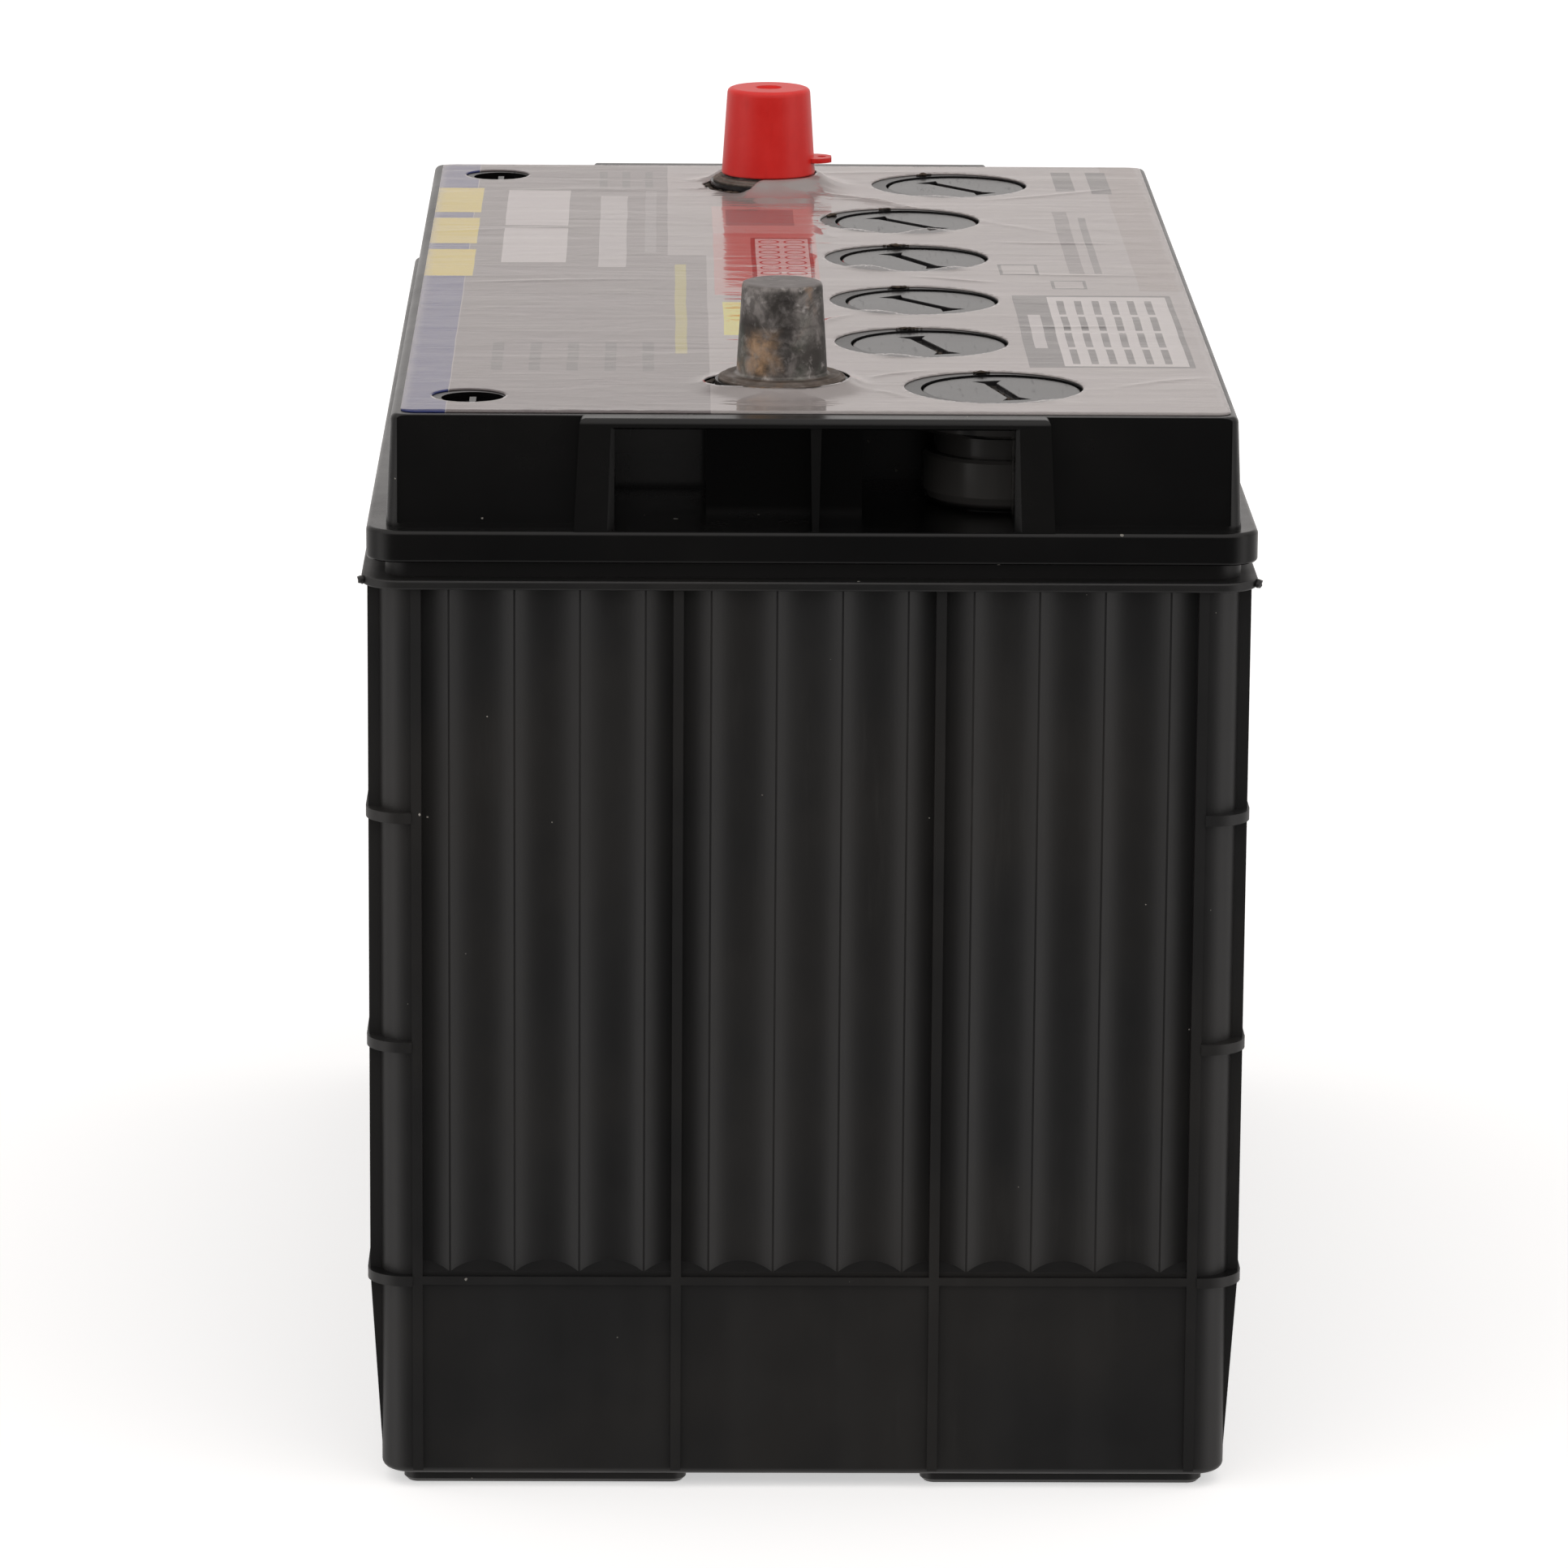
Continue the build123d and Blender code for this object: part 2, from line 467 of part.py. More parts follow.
def strap(i, polarity):
    # cast bar over the lugs, with a weld lug against a partition or an arm to the post pillar
    yc = CELL_Y[i]
    side = neg_side(i) if polarity == "neg" else -neg_side(i)
    half = PACK / 2 if polarity == "neg" else PACK / 2 - T_NEG
    x = side * STRAP_X
    s = block(x - STRAP_W / 2, x + STRAP_W / 2, yc - half, yc + half, STRAP_Z0, STRAP_Z1)
    s = fillet(s.edges().filter_by(Axis.Z), 2.0)
    s = fillet(s.faces().sort_by(Axis.Z)[-1].edges(), 1.2)
    end_post = (polarity == "neg" and i == 0) or (polarity == "pos" and i == N_CELL - 1)
    if end_post:
        y = -POST_Y if polarity == "neg" else POST_Y
        arm = block(x + STRAP_W / 2 - 3, post_x(y), y - 9.5, y + 9.5, STRAP_Z0 + 0.6, STRAP_Z1 - 0.01) \
            + cyl(post_x(y), y, 12.0, STRAP_Z0 + 0.6, STRAP_Z1 - 0.01)
        s = s + arm
    else:
        sy = 1 if polarity == "pos" else -1
        face = yc + sy * (CELL_L / 2 - 0.03)
        y0, y1 = sorted((face, face - sy * 4.5))
        tomb = block(x - 8.0, x + 8.0, y0, y1, STRAP_Z0, 182.5)
        tomb = fillet([e for e in tomb.edges().filter_by(Axis.Y) if e.center().Z > 180], 4.0)
        s = s + tomb
    return s


def welds():
    out = []
    for k, py in enumerate(PART_Y):
        sx = 1 if k % 2 == 0 else -1
        out.append(Pos(sx * STRAP_X, py, WELD_Z) * Rot(90, 0, 0) * Cylinder(WELD_R - 0.02, PART_T + 0.06))
    return Compound(children=out)


# ------------------------------------------------------------------ post protector
def make_protector():
    h = POST_TOP_Z - POST_BASE_Z
    c = 0.06
    def rp(z):
        return POS_R_TOP + TAPER * (POST_TOP_Z - z) + c
    z0 = 220.15
    zt = 239.75
    outer0, outer1 = 10.65, 9.42
    pts = [(rp(z0) + 0.02, z0), (outer0 - 0.15, z0), (outer0, z0 + 0.15), (outer1 + 0.05, zt - 1.1), (outer1 - 0.1, zt - 0.55), (outer1 - 0.45, zt - 0.2),
           (outer1 - 1.0, zt), (3.0, zt), (2.9, zt - 0.7), (0, zt - 0.7), (0, POST_TOP_Z + 0.1), (rp(POST_TOP_Z), POST_TOP_Z + 0.1)]
    body = turned(pts)
    # flat pull tab with a small eye on the +X side
    tz0, tz1 = 222.8, 223.9
    tab = block(9.9, 11.4, -4.1, 4.1, tz0, tz1) + cyl(10.6, 0, 4.1, tz0, tz1)
    tab = tab - cyl(0, 0, 10.2, tz0 - 1, tz1 + 1)
    eye = cyl(12.2, 0, 1.0, tz0 - 1, tz1 + 1)
    tab = tab - eye
    tab = tab & block(8, 14.4, -10, 10, tz0 - 1, tz1 + 1)
    body = body + tab
    return Pos(post_x(POST_Y), POST_Y, 0) * body


# ------------------------------------------------------------------ label and film
def sheet(z0, t, grow):
    s = rrect(80.9 + grow, 158.15 + 3 * grow, 3.0, z0, z0 + t)
    s = Pos(0.3, 0.25, 0) * s
    for x, y in VENTS:
        s = s - cyl(x - 1.6, y + 0.3, 17.75 + grow, z0 - 1, z0 + 2)
    for sy in (-1, 1):
        s = s - cyl(post_x(sy) - 1.4, sy * POST_Y, 14.9 + grow, z0 - 1, z0 + 2)
        s = s - cyl(BLIND_XY[0] - 0.8, sy * BLIND_XY[1] + 0.9, 7.25 + grow, z0 - 1, z0 + 2)
    return s


# ------------------------------------------------------------------ build all nodes
os.makedirs("parts", exist_ok=True)
nodes = {}
nodes["case"] = make_case()
neg_b = bushing(NEG_R_TOP, -POST_Y, 1)
pos_b = bushing(POS_R_TOP, POST_Y, -1)
nodes["negative_bushing"] = neg_b
nodes["positive_bushing"] = pos_b
nodes["negative_post"] = make_post(-POST_Y)
nodes["positive_post"] = make_post(POST_Y)
nodes["cover"] = make_cover(neg_b, pos_b)
nodes["positive_post_cap"] = make_protector()
nodes["top_label"] = sheet(TOP_Z + 0.01, 0.2, 0.0)
nodes["label_film"] = sheet(TOP_Z + 0.23, 0.12, 0.2)
for i in range(6):
    nodes["vent_cap_%d" % (i + 1)] = make_plug(i)
    nodes["vent_gasket_%d" % (i + 1)] = make_gasket(i)
    nodes["vent_baffle_%d" % (i + 1)] = make_baffle(i)
for i in range(N_CELL):
    c = "cell_%d_" % (i + 1)
    nodes[c + "positive_plates"] = plates(i, "pos")
    nodes[c + "negative_plates"] = plates(i, "neg")
    nodes[c + "separators"] = separators(i)
    nodes[c + "positive_strap"] = strap(i, "pos")
    nodes[c + "negative_strap"] = strap(i, "neg")
nodes["intercell_welds"] = welds()

for name, shape in nodes.items():
    export_step(shape, "parts/%s.step" % name)
print(len(nodes), "nodes")
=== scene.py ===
import math
import random

import bmesh
import bpy
from mathutils import Matrix, Vector, noise
from mathutils.geometry import delaunay_2d_cdt


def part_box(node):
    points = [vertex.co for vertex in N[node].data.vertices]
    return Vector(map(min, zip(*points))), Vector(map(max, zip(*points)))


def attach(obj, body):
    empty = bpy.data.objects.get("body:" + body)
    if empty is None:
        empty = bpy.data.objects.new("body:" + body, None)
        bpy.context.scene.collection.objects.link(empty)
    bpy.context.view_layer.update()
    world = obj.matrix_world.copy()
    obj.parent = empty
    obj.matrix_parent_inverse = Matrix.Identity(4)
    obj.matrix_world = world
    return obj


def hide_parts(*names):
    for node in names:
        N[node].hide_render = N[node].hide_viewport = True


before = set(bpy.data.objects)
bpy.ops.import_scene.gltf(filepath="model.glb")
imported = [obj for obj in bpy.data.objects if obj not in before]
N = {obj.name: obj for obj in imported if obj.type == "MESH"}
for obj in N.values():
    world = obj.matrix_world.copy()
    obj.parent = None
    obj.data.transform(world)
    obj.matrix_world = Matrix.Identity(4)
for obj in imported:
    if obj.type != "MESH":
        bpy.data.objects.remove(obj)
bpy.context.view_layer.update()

MM = 0.001
scene = bpy.context.scene
scene.view_settings.view_transform = "Standard"
scene.view_settings.look = "None"
scene.cycles.max_bounces = 6
scene.cycles.diffuse_bounces = 2
scene.cycles.glossy_bounces = 4
scene.cycles.transparent_max_bounces = 10
scene.cycles.caustics_reflective = False
scene.cycles.caustics_refractive = False


# ---------------------------------------------------------------- node helper
class G:
    """A thin wrapper that makes node graphs short to write."""

    def __init__(self, tree):
        self.t = tree

    def node(self, kind, **attrs):
        n = self.t.nodes.new(kind)
        for k, v in attrs.items():
            setattr(n, k, v)
        return n

    def put(self, sock, v):
        if v is None:
            return
        if isinstance(v, bpy.types.NodeSocket):
            self.t.links.new(v, sock)
        elif isinstance(v, (tuple, list)) and sock.type == "RGBA":
            sock.default_value = (*v, 1.0) if len(v) == 3 else tuple(v)
        elif isinstance(v, (tuple, list)):
            sock.default_value = tuple(v)
        elif sock.type == "RGBA":
            sock.default_value = (v, v, v, 1.0)
        elif sock.type == "VECTOR":
            sock.default_value = (v, v, v)
        else:
            sock.default_value = v

    def m(self, op, a, b=None, c=None, clamp=False):
        n = self.node("ShaderNodeMath", operation=op, use_clamp=clamp)
        self.put(n.inputs[0], a)
        self.put(n.inputs[1], b)
        self.put(n.inputs[2], c)
        return n.outputs[0]

    def v(self, op, a, b=None, out=0):
        n = self.node("ShaderNodeVectorMath", operation=op)
        self.put(n.inputs[0], a)
        if b is not None:
            self.put(n.inputs[3 if op == "SCALE" else 1], b)
        return n.outputs["Value"] if op in ("DOT_PRODUCT", "LENGTH", "DISTANCE") else n.outputs[0]

    def mix(self, fac, a, b, mode="MIX"):
        n = self.node("ShaderNodeMix", data_type="RGBA", blend_type=mode)
        self.put(n.inputs[0], fac)
        self.put(n.inputs[6], a)
        self.put(n.inputs[7], b)
        return n.outputs[2]

    def lerp(self, fac, a, b):
        n = self.node("ShaderNodeMix", data_type="FLOAT")
        self.put(n.inputs[0], fac)
        self.put(n.inputs[2], a)
        self.put(n.inputs[3], b)
        return n.outputs[0]

    def ramp(self, x, lo, hi, a=0.0, b=1.0):
        n = self.node("ShaderNodeMapRange", interpolation_type="SMOOTHSTEP", clamp=True)
        for i, q in enumerate((x, lo, hi, a, b)):
            self.put(n.inputs[i], q)
        return n.outputs[0]

    def xyz(self, vec):
        n = self.node("ShaderNodeSeparateXYZ")
        self.put(n.inputs[0], vec)
        return n.outputs[0], n.outputs[1], n.outputs[2]

    def vec(self, x, y, z):
        n = self.node("ShaderNodeCombineXYZ")
        for i, q in enumerate((x, y, z)):
            self.put(n.inputs[i], q)
        return n.outputs[0]

    def pos(self):
        return self.node("ShaderNodeTexCoord").outputs["Object"]

    def noise(self, vec, scale, detail=3.0, rough=0.5, dist=0.0, out="Fac"):
        n = self.node("ShaderNodeTexNoise")
        self.put(n.inputs["Vector"], vec)
        self.put(n.inputs["Scale"], scale)
        self.put(n.inputs["Detail"], detail)
        self.put(n.inputs["Roughness"], rough)
        self.put(n.inputs["Distortion"], dist)
        return n.outputs[out]

    def voro(self, vec, scale, feature="F1"):
        n = self.node("ShaderNodeTexVoronoi", feature=feature)
        self.put(n.inputs["Vector"], vec)
        self.put(n.inputs["Scale"], scale)
        return n.outputs["Distance"], n.outputs.get("Color")

    def bump(self, height, dist, strength=1.0, normal=None):
        n = self.node("ShaderNodeBump")
        self.put(n.inputs["Height"], height)
        self.put(n.inputs["Distance"], dist)
        self.put(n.inputs["Strength"], strength)
        if normal is not None:
            self.put(n.inputs["Normal"], normal)
        return n.outputs[0]


def material(name):
    m = bpy.data.materials.new(name)
    m.use_nodes = True
    m.node_tree.nodes.clear()
    g = G(m.node_tree)
    out = g.node("ShaderNodeOutputMaterial")
    return m, g, out


def principled(g, out, **inputs):
    b = g.node("ShaderNodeBsdfPrincipled")
    for k, v in inputs.items():
        g.put(b.inputs[k], v)
    g.t.links.new(b.outputs[0], out.inputs[0])
    return b


# ---------------------------------------------------------------- studio light
def studio_tree():
    """Radiance of the studio for a direction: dark towards the camera, soft boxes either side, white behind."""
    t = bpy.data.node_groups.new("studio", "ShaderNodeTree")
    t.interface.new_socket("Direction", in_out="INPUT", socket_type="NodeSocketVector")
    t.interface.new_socket("Radiance", in_out="OUTPUT", socket_type="NodeSocketFloat")
    g = G(t)
    gi, go = g.node("NodeGroupInput"), g.node("NodeGroupOutput")

    def to_cam(v):
        n = g.node("ShaderNodeVectorTransform", vector_type="VECTOR", convert_from="WORLD", convert_to="CAMERA")
        g.put(n.inputs[0], v)
        return n.outputs[0]

    d = g.v("NORMALIZE", gi.outputs[0])
    up = to_cam((0.0, 0.0, 1.0))
    dc = to_cam(d)
    elev = g.v("DOT_PRODUCT", dc, up)
    # horizontal direction away from the camera, in camera space
    uz = g.xyz(up)[2]
    fwd = g.v("NORMALIZE", g.v("SUBTRACT", (0.0, 0.0, 1.0), g.v("SCALE", up, uz)))
    away = g.v("DOT_PRODUCT", dc, fwd)
    side = g.m("ABSOLUTE", g.xyz(dc)[0])
    az = g.m("ARCTAN2", side, g.m("MULTIPLY", away, -1.0))       # 0 towards the camera, pi away
    ramp = g.node("ShaderNodeValToRGB")
    ramp.color_ramp.interpolation = "B_SPLINE"
    stops = [(0.0, 0.10), (0.15, 0.12), (0.22, 0.28), (0.31, 0.85), (0.37, 1.10), (0.43, 0.90), (0.50, 0.50), (0.62, 0.56), (0.80, 0.70), (1.0, 0.74)]
    els = ramp.color_ramp.elements
    els[0].position, els[0].color = stops[0][0], (stops[0][1] / 2,) * 3 + (1,)
    els[1].position, els[1].color = stops[-1][0], (stops[-1][1] / 2,) * 3 + (1,)
    for p, c in stops[1:-1]:
        e = els.new(p)
        e.color = (c / 2,) * 3 + (1,)
    g.put(ramp.inputs[0], g.m("DIVIDE", az, math.pi))
    low = g.m("MULTIPLY", ramp.outputs[0], 2.0)
    front = g.ramp(az, 1.25, 0.75)
    # broad soft light above the camera, pale ground below it
    up_f = g.m("MULTIPLY", g.ramp(elev, 0.0, 0.55), front)
    rad = g.lerp(up_f, low, 0.95)
    dn_f = g.m("MULTIPLY", g.ramp(elev, -0.40, -0.85), front)
    rad = g.lerp(dn_f, rad, 0.50)
    top = g.ramp(elev, 0.45, 0.9)
    rad = g.lerp(top, rad, 0.98)
    # slight falloff of the backdrop with height, so that creases in the glossy film read
    behind = g.ramp(az, 1.9, 2.6)
    fall = g.m("MULTIPLY", g.ramp(elev, 0.24, 0.50), behind)
    rad = g.m("MULTIPLY", rad, g.lerp(fall, 1.0, 0.62))
    g.put(go.inputs[0], rad)
    return t


STUDIO = studio_tree()


def add_world():
    w = bpy.data.worlds.new("studio_world")
    scene.world = w
    w.use_nodes = True
    w.node_tree.nodes.clear()
    g = G(w.node_tree)
    out = g.node("ShaderNodeOutputWorld")
    grp = g.node("ShaderNodeGroup", node_tree=STUDIO)
    g.put(grp.inputs[0], g.node("ShaderNodeTexCoord").outputs["Generated"])
    cam = g.node("ShaderNodeLightPath").outputs["Is Camera Ray"]
    bg = g.node("ShaderNodeBackground")
    g.put(bg.inputs[0], g.mix(cam, (1.0, 0.965, 0.945), (1, 1, 1)))
    g.put(bg.inputs[1], g.lerp(cam, grp.outputs[0], 1.05))
    g.t.links.new(bg.outputs[0], out.inputs[0])
    w.cycles.sampling_method = "NONE"


def add_floor():
    bm = bmesh.new()
    r, k = 9.0, 48
    rings = [0.3, 0.6, 1.2, 2.5, 5.0, r]
    c = bm.verts.new((0, 0, 0))
    prev = None
    for rad in rings:
        cur = [bm.verts.new((rad * math.cos(2 * math.pi * i / k), rad * math.sin(2 * math.pi * i / k), 0)) for i in range(k)]
        for i in range(k):
            if prev is None:
                bm.faces.new((c, cur[i], cur[(i + 1) % k]))
            else:
                bm.faces.new((prev[i], cur[i], cur[(i + 1) % k], prev[(i + 1) % k]))
        prev = cur
    me = bpy.data.meshes.new("studio_floor")
    bm.to_mesh(me)
    bm.free()
    o = bpy.data.objects.new("studio_floor", me)
    scene.collection.objects.link(o)
    o.location = (0, 0, -0.0002)
    m, g, out = material("floor_white")
    inc = g.node("ShaderNodeNewGeometry").outputs["Incoming"]
    grp = g.node("ShaderNodeGroup", node_tree=STUDIO)
    g.put(grp.inputs[0], g.v("SCALE", inc, -1.0))
    cam = g.node("ShaderNodeLightPath").outputs["Is Camera Ray"]
    pale = g.noise(g.pos(), 3.0, 2.0)
    dif = g.node("ShaderNodeBsdfDiffuse")
    g.put(dif.inputs[0], g.mix(pale, (0.80, 0.80, 0.80), (0.83, 0.83, 0.83)))
    em = g.node("ShaderNodeEmission")
    g.put(em.inputs[1], 0.52)
    add = g.node("ShaderNodeAddShader")
    g.t.links.new(dif.outputs[0], add.inputs[0])
    g.t.links.new(em.outputs[0], add.inputs[1])
    em2 = g.node("ShaderNodeEmission")
    g.put(em2.inputs[0], (1.0, 0.97, 0.955))
    g.put(em2.inputs[1], grp.outputs[0])
    mx = g.node("ShaderNodeMixShader")
    g.put(mx.inputs[0], cam)
    g.t.links.new(em2.outputs[0], mx.inputs[1])
    g.t.links.new(add.outputs[0], mx.inputs[2])
    g.t.links.new(mx.outputs[0], out.inputs[0])
    o.data.materials.append(m)


add_world()
add_floor()


def node_centre(name):
    lo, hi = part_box(name)
    return (lo + hi) / 2


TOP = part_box("top_label")[1].z
COVER_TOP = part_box("top_label")[0].z
VENT = [node_centre("vent_cap_%d" % i) for i in range(1, 7)]
NEG = node_centre("negative_bushing")
POS = node_centre("positive_bushing")
LLO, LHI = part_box("top_label")


# ---------------------------------------------------------------- materials
def edge_mask(g, radius):
    """0 on flats, rising along edges: how far a bevelled normal turns from the true one."""
    if radius is None:
        return 0.0, None
    b = g.node("ShaderNodeBevel", samples=3)
    g.put(b.inputs["Radius"], radius)
    geo = g.node("ShaderNodeNewGeometry")
    d = g.v("DOT_PRODUCT", b.outputs[0], geo.outputs["Normal"])
    return g.ramp(g.m("SUBTRACT", 1.0, d), 0.01, 0.20), b.outputs[0]


def black_plastic(name, base, warm, rough, grain_mm, grain, bevel_mm, dust, edge_gain, scuff=0.5, ior=1.49, spec=0.5, extra=None, ledges=()):
    m, g, out = material(name)
    p = g.pos()
    edge, bev = edge_mask(g, bevel_mm * MM if bevel_mm else None)
    big = g.noise(p, 22.0, 3.0, 0.55)
    mid = g.noise(p, 140.0, 3.0, 0.6)
    col = g.mix(g.ramp(big, 0.35, 0.7), base, warm)
    # rubbed edges: slightly lighter and duller, broken up by noise
    wear = g.m("MULTIPLY", edge, g.ramp(g.noise(p, 260.0, 3.0, 0.65), 0.42, 0.72))
    col = g.mix(g.m("MULTIPLY", wear, edge_gain), col, (0.075, 0.07, 0.064))
    # faint handling scuffs, stretched along the height
    x, y, z = g.xyz(p)
    st = g.vec(g.m("MULTIPLY", x, 420.0), g.m("MULTIPLY", y, 420.0), g.m("MULTIPLY", z, 36.0))
    streak = g.ramp(g.noise(st, 1.0, 4.0, 0.6), 0.52, 0.78)
    patch = g.ramp(g.noise(p, 11.0, 3.0, 0.5), 0.45, 0.75)
    sc = g.m("MULTIPLY", g.m("MULTIPLY", streak, patch), scuff)
    col = g.mix(g.m("MULTIPLY", sc, 0.30), col, (0.05, 0.047, 0.043))
    # sparse pale dust specks
    wob = g.v("ADD", p, g.v("SCALE", g.noise(p, 900.0, 2.0, 0.5, out="Color"), 0.0004))
    dist, rnd = g.voro(wob, 165.0)
    rx, ry, rz = g.xyz(rnd)
    size = g.m("MULTIPLY_ADD", g.m("POWER", ry, 3.0), 0.050, 0.016)
    keep = g.m("MULTIPLY_ADD", g.ramp(mid, 0.50, 0.68), dust, dust * 0.35)
    # dust gathers on and just over each ledge
    for zl in ledges:
        near = g.m("MULTIPLY", g.ramp(z, zl - 0.0015, zl), g.ramp(z, zl + 0.009, zl + 0.001))
        keep = g.m("MULTIPLY_ADD", near, 0.6, keep)
        size = g.m("MULTIPLY_ADD", near, 0.018, size)
    speck = g.m("MULTIPLY", g.m("LESS_THAN", dist, size), g.m("GREATER_THAN", rx, g.m("SUBTRACT", 1.0, keep)))
    col = g.mix(g.m("MULTIPLY", speck, g.m("MULTIPLY_ADD", rz, 0.4, 0.4)), col, (0.58, 0.55, 0.50))
    # roughness
    r = g.m("MULTIPLY_ADD", g.m("SUBTRACT", mid, 0.5), 0.10, rough)
    r = g.m("MULTIPLY_ADD", g.m("SUBTRACT", big, 0.5), 0.16, r)
    r = g.m("MULTIPLY_ADD", sc, 0.20, r)
    r = g.m("MULTIPLY_ADD", wear, 0.12, r)
    r = g.lerp(speck, r, 0.9)
    # fine moulded grain
    gr = g.noise(p, 1000.0 / grain_mm, 3.0, 0.55)
    h = g.m("ADD", g.m("MULTIPLY", gr, grain), g.m("MULTIPLY", mid, grain * 0.8))
    h = g.m("ADD", h, g.m("MULTIPLY", speck, 0.5))
    nrm = g.bump(h, 0.00010, 0.6, bev)
    if extra:
        col, r, spec = extra(g, x, y, z, col, r, spec)
    principled(g, out, **{"Base Color": col, "Roughness": r, "IOR": ior, "Normal": nrm, "Specular IOR Level": spec})
    return m


def jar_extra(g, x, y, z, col, r, spec):
    # painted shade: the upward-facing run-outs at the flute feet, just over the lowest band, are painted near black
    # and given low specular, standing in for the shade there
    nz = g.xyz(g.node("ShaderNodeNewGeometry").outputs["True Normal"])[2]
    foot = g.m("MULTIPLY", g.ramp(nz, 0.15, 0.45), g.m("MULTIPLY", g.ramp(z, 0.0436, 0.0440), g.ramp(z, 0.0530, 0.0500)))
    col = g.mix(g.m("MULTIPLY", foot, 0.75), col, (0.004, 0.004, 0.0042))
    spec = g.lerp(foot, spec, 0.15)
    # rubbed haze down the flute flanks, a little uneven
    haze = g.ramp(g.noise(g.vec(g.m("MULTIPLY", x, 90.0), g.m("MULTIPLY", y, 90.0), g.m("MULTIPLY", z, 9.0)), 1.0, 2.0, 0.5), 0.4, 0.75)
    r = g.m("MULTIPLY_ADD", haze, 0.07, r)
    return col, r, spec


def cover_extra(g, x, y, z, col, r, spec):
    # painted light: the back wall of the left grip pocket and the mouth of the vent well beside it are painted paler,
    # the back wall also with raised specular, standing in for light reaching in through the pocket opening
    ay = g.m("ABSOLUTE", y)
    inz = g.m("MULTIPLY", g.ramp(z, 0.1950, 0.1965), g.ramp(z, 0.2146, 0.2136))
    # only inside the pocket, not on the outer walls of the cover
    inz = g.m("MULTIPLY", inz, g.ramp(g.m("ABSOLUTE", g.m("SUBTRACT", x, 0.008)), 0.0500, 0.0485))
    pocket_painted_light = g.m("MULTIPLY", inz, g.m("MULTIPLY", g.ramp(ay, 0.1570, 0.1540), g.ramp(ay, 0.1120, 0.1150)))
    left = g.m("MULTIPLY", pocket_painted_light, g.ramp(x, -0.0212, -0.0222))
    well = g.m("MULTIPLY", pocket_painted_light, g.ramp(x, 0.0180, 0.0200))
    a = g.m("MULTIPLY", left, g.ramp(z, 0.1995, 0.2070))
    a = g.m("MAXIMUM", a, g.m("MULTIPLY", well, 0.8))
    col = g.mix(g.m("MULTIPLY", a, 0.95), col, (0.125, 0.120, 0.114))
    spec = g.lerp(left, spec, 1.0)
    # painted shade: the wall face inside the grip pocket near |y| 146 mm is painted near black, with low specular
    pocket_face_painted_shade = g.m("MULTIPLY", inz, g.m("MULTIPLY", g.ramp(ay, 0.1470, 0.1462), g.ramp(ay, 0.1450, 0.1458)))
    col = g.mix(g.m("MULTIPLY", pocket_face_painted_shade, 0.8), col, (0.001, 0.001, 0.001))
    spec = g.lerp(pocket_face_painted_shade, spec, 0.22)
    # the neck between lip and jar is duller
    neck = g.ramp(z, 0.1886, 0.1882)
    col = g.mix(g.m("MULTIPLY", neck, 0.6), col, (0.013, 0.012, 0.012))
    r = g.m("MULTIPLY_ADD", neck, 0.16, r)
    return col, r, spec


def vent_plastic():
    m, g, out = material("vent_black")
    p = g.pos()
    edge, bev = edge_mask(g, 0.35 * MM)
    a = g.noise(p, 60.0, 4.0, 0.55)
    b = g.noise(p, 700.0, 4.0, 0.6)
    col = g.mix(g.ramp(a, 0.3, 0.7), (0.016, 0.016, 0.018), (0.026, 0.025, 0.026))
    col = g.mix(g.m("MULTIPLY", edge, 0.45), col, (0.07, 0.066, 0.06))
    x, y, z = g.xyz(p)
    inside = g.m("MULTIPLY", g.ramp(z, 0.2159 - 0.00015, 0.2159 - 0.0009), g.m("GREATER_THAN", z, 0.2145))
    col = g.mix(g.m("MULTIPLY", inside, g.ramp(b, 0.35, 0.75)), col, (0.075, 0.06, 0.045))
    r = g.m("MULTIPLY_ADD", a, 0.10, 0.13)
    rim = g.ramp(z, 0.21640, 0.21648)
    scr = g.ramp(g.noise(g.vec(g.m("MULTIPLY", x, 900.0), g.m("MULTIPLY", y, 90.0), 0.0), 1.0, 3.0, 0.6), 0.55, 0.8)
    r = g.m("MULTIPLY_ADD", g.m("MULTIPLY", rim, scr), 0.12, r)
    r = g.m("MULTIPLY_ADD", g.m("MULTIPLY", inside, b), 0.7, r)
    h = g.m("MULTIPLY_ADD", b, 0.25, g.m("MULTIPLY", g.noise(p, 90.0, 2.0), 0.9))
    principled(g, out, **{"Base Color": col, "Roughness": r, "IOR": 1.50, "Normal": g.bump(h, 0.00006, 0.5, bev)})
    return m


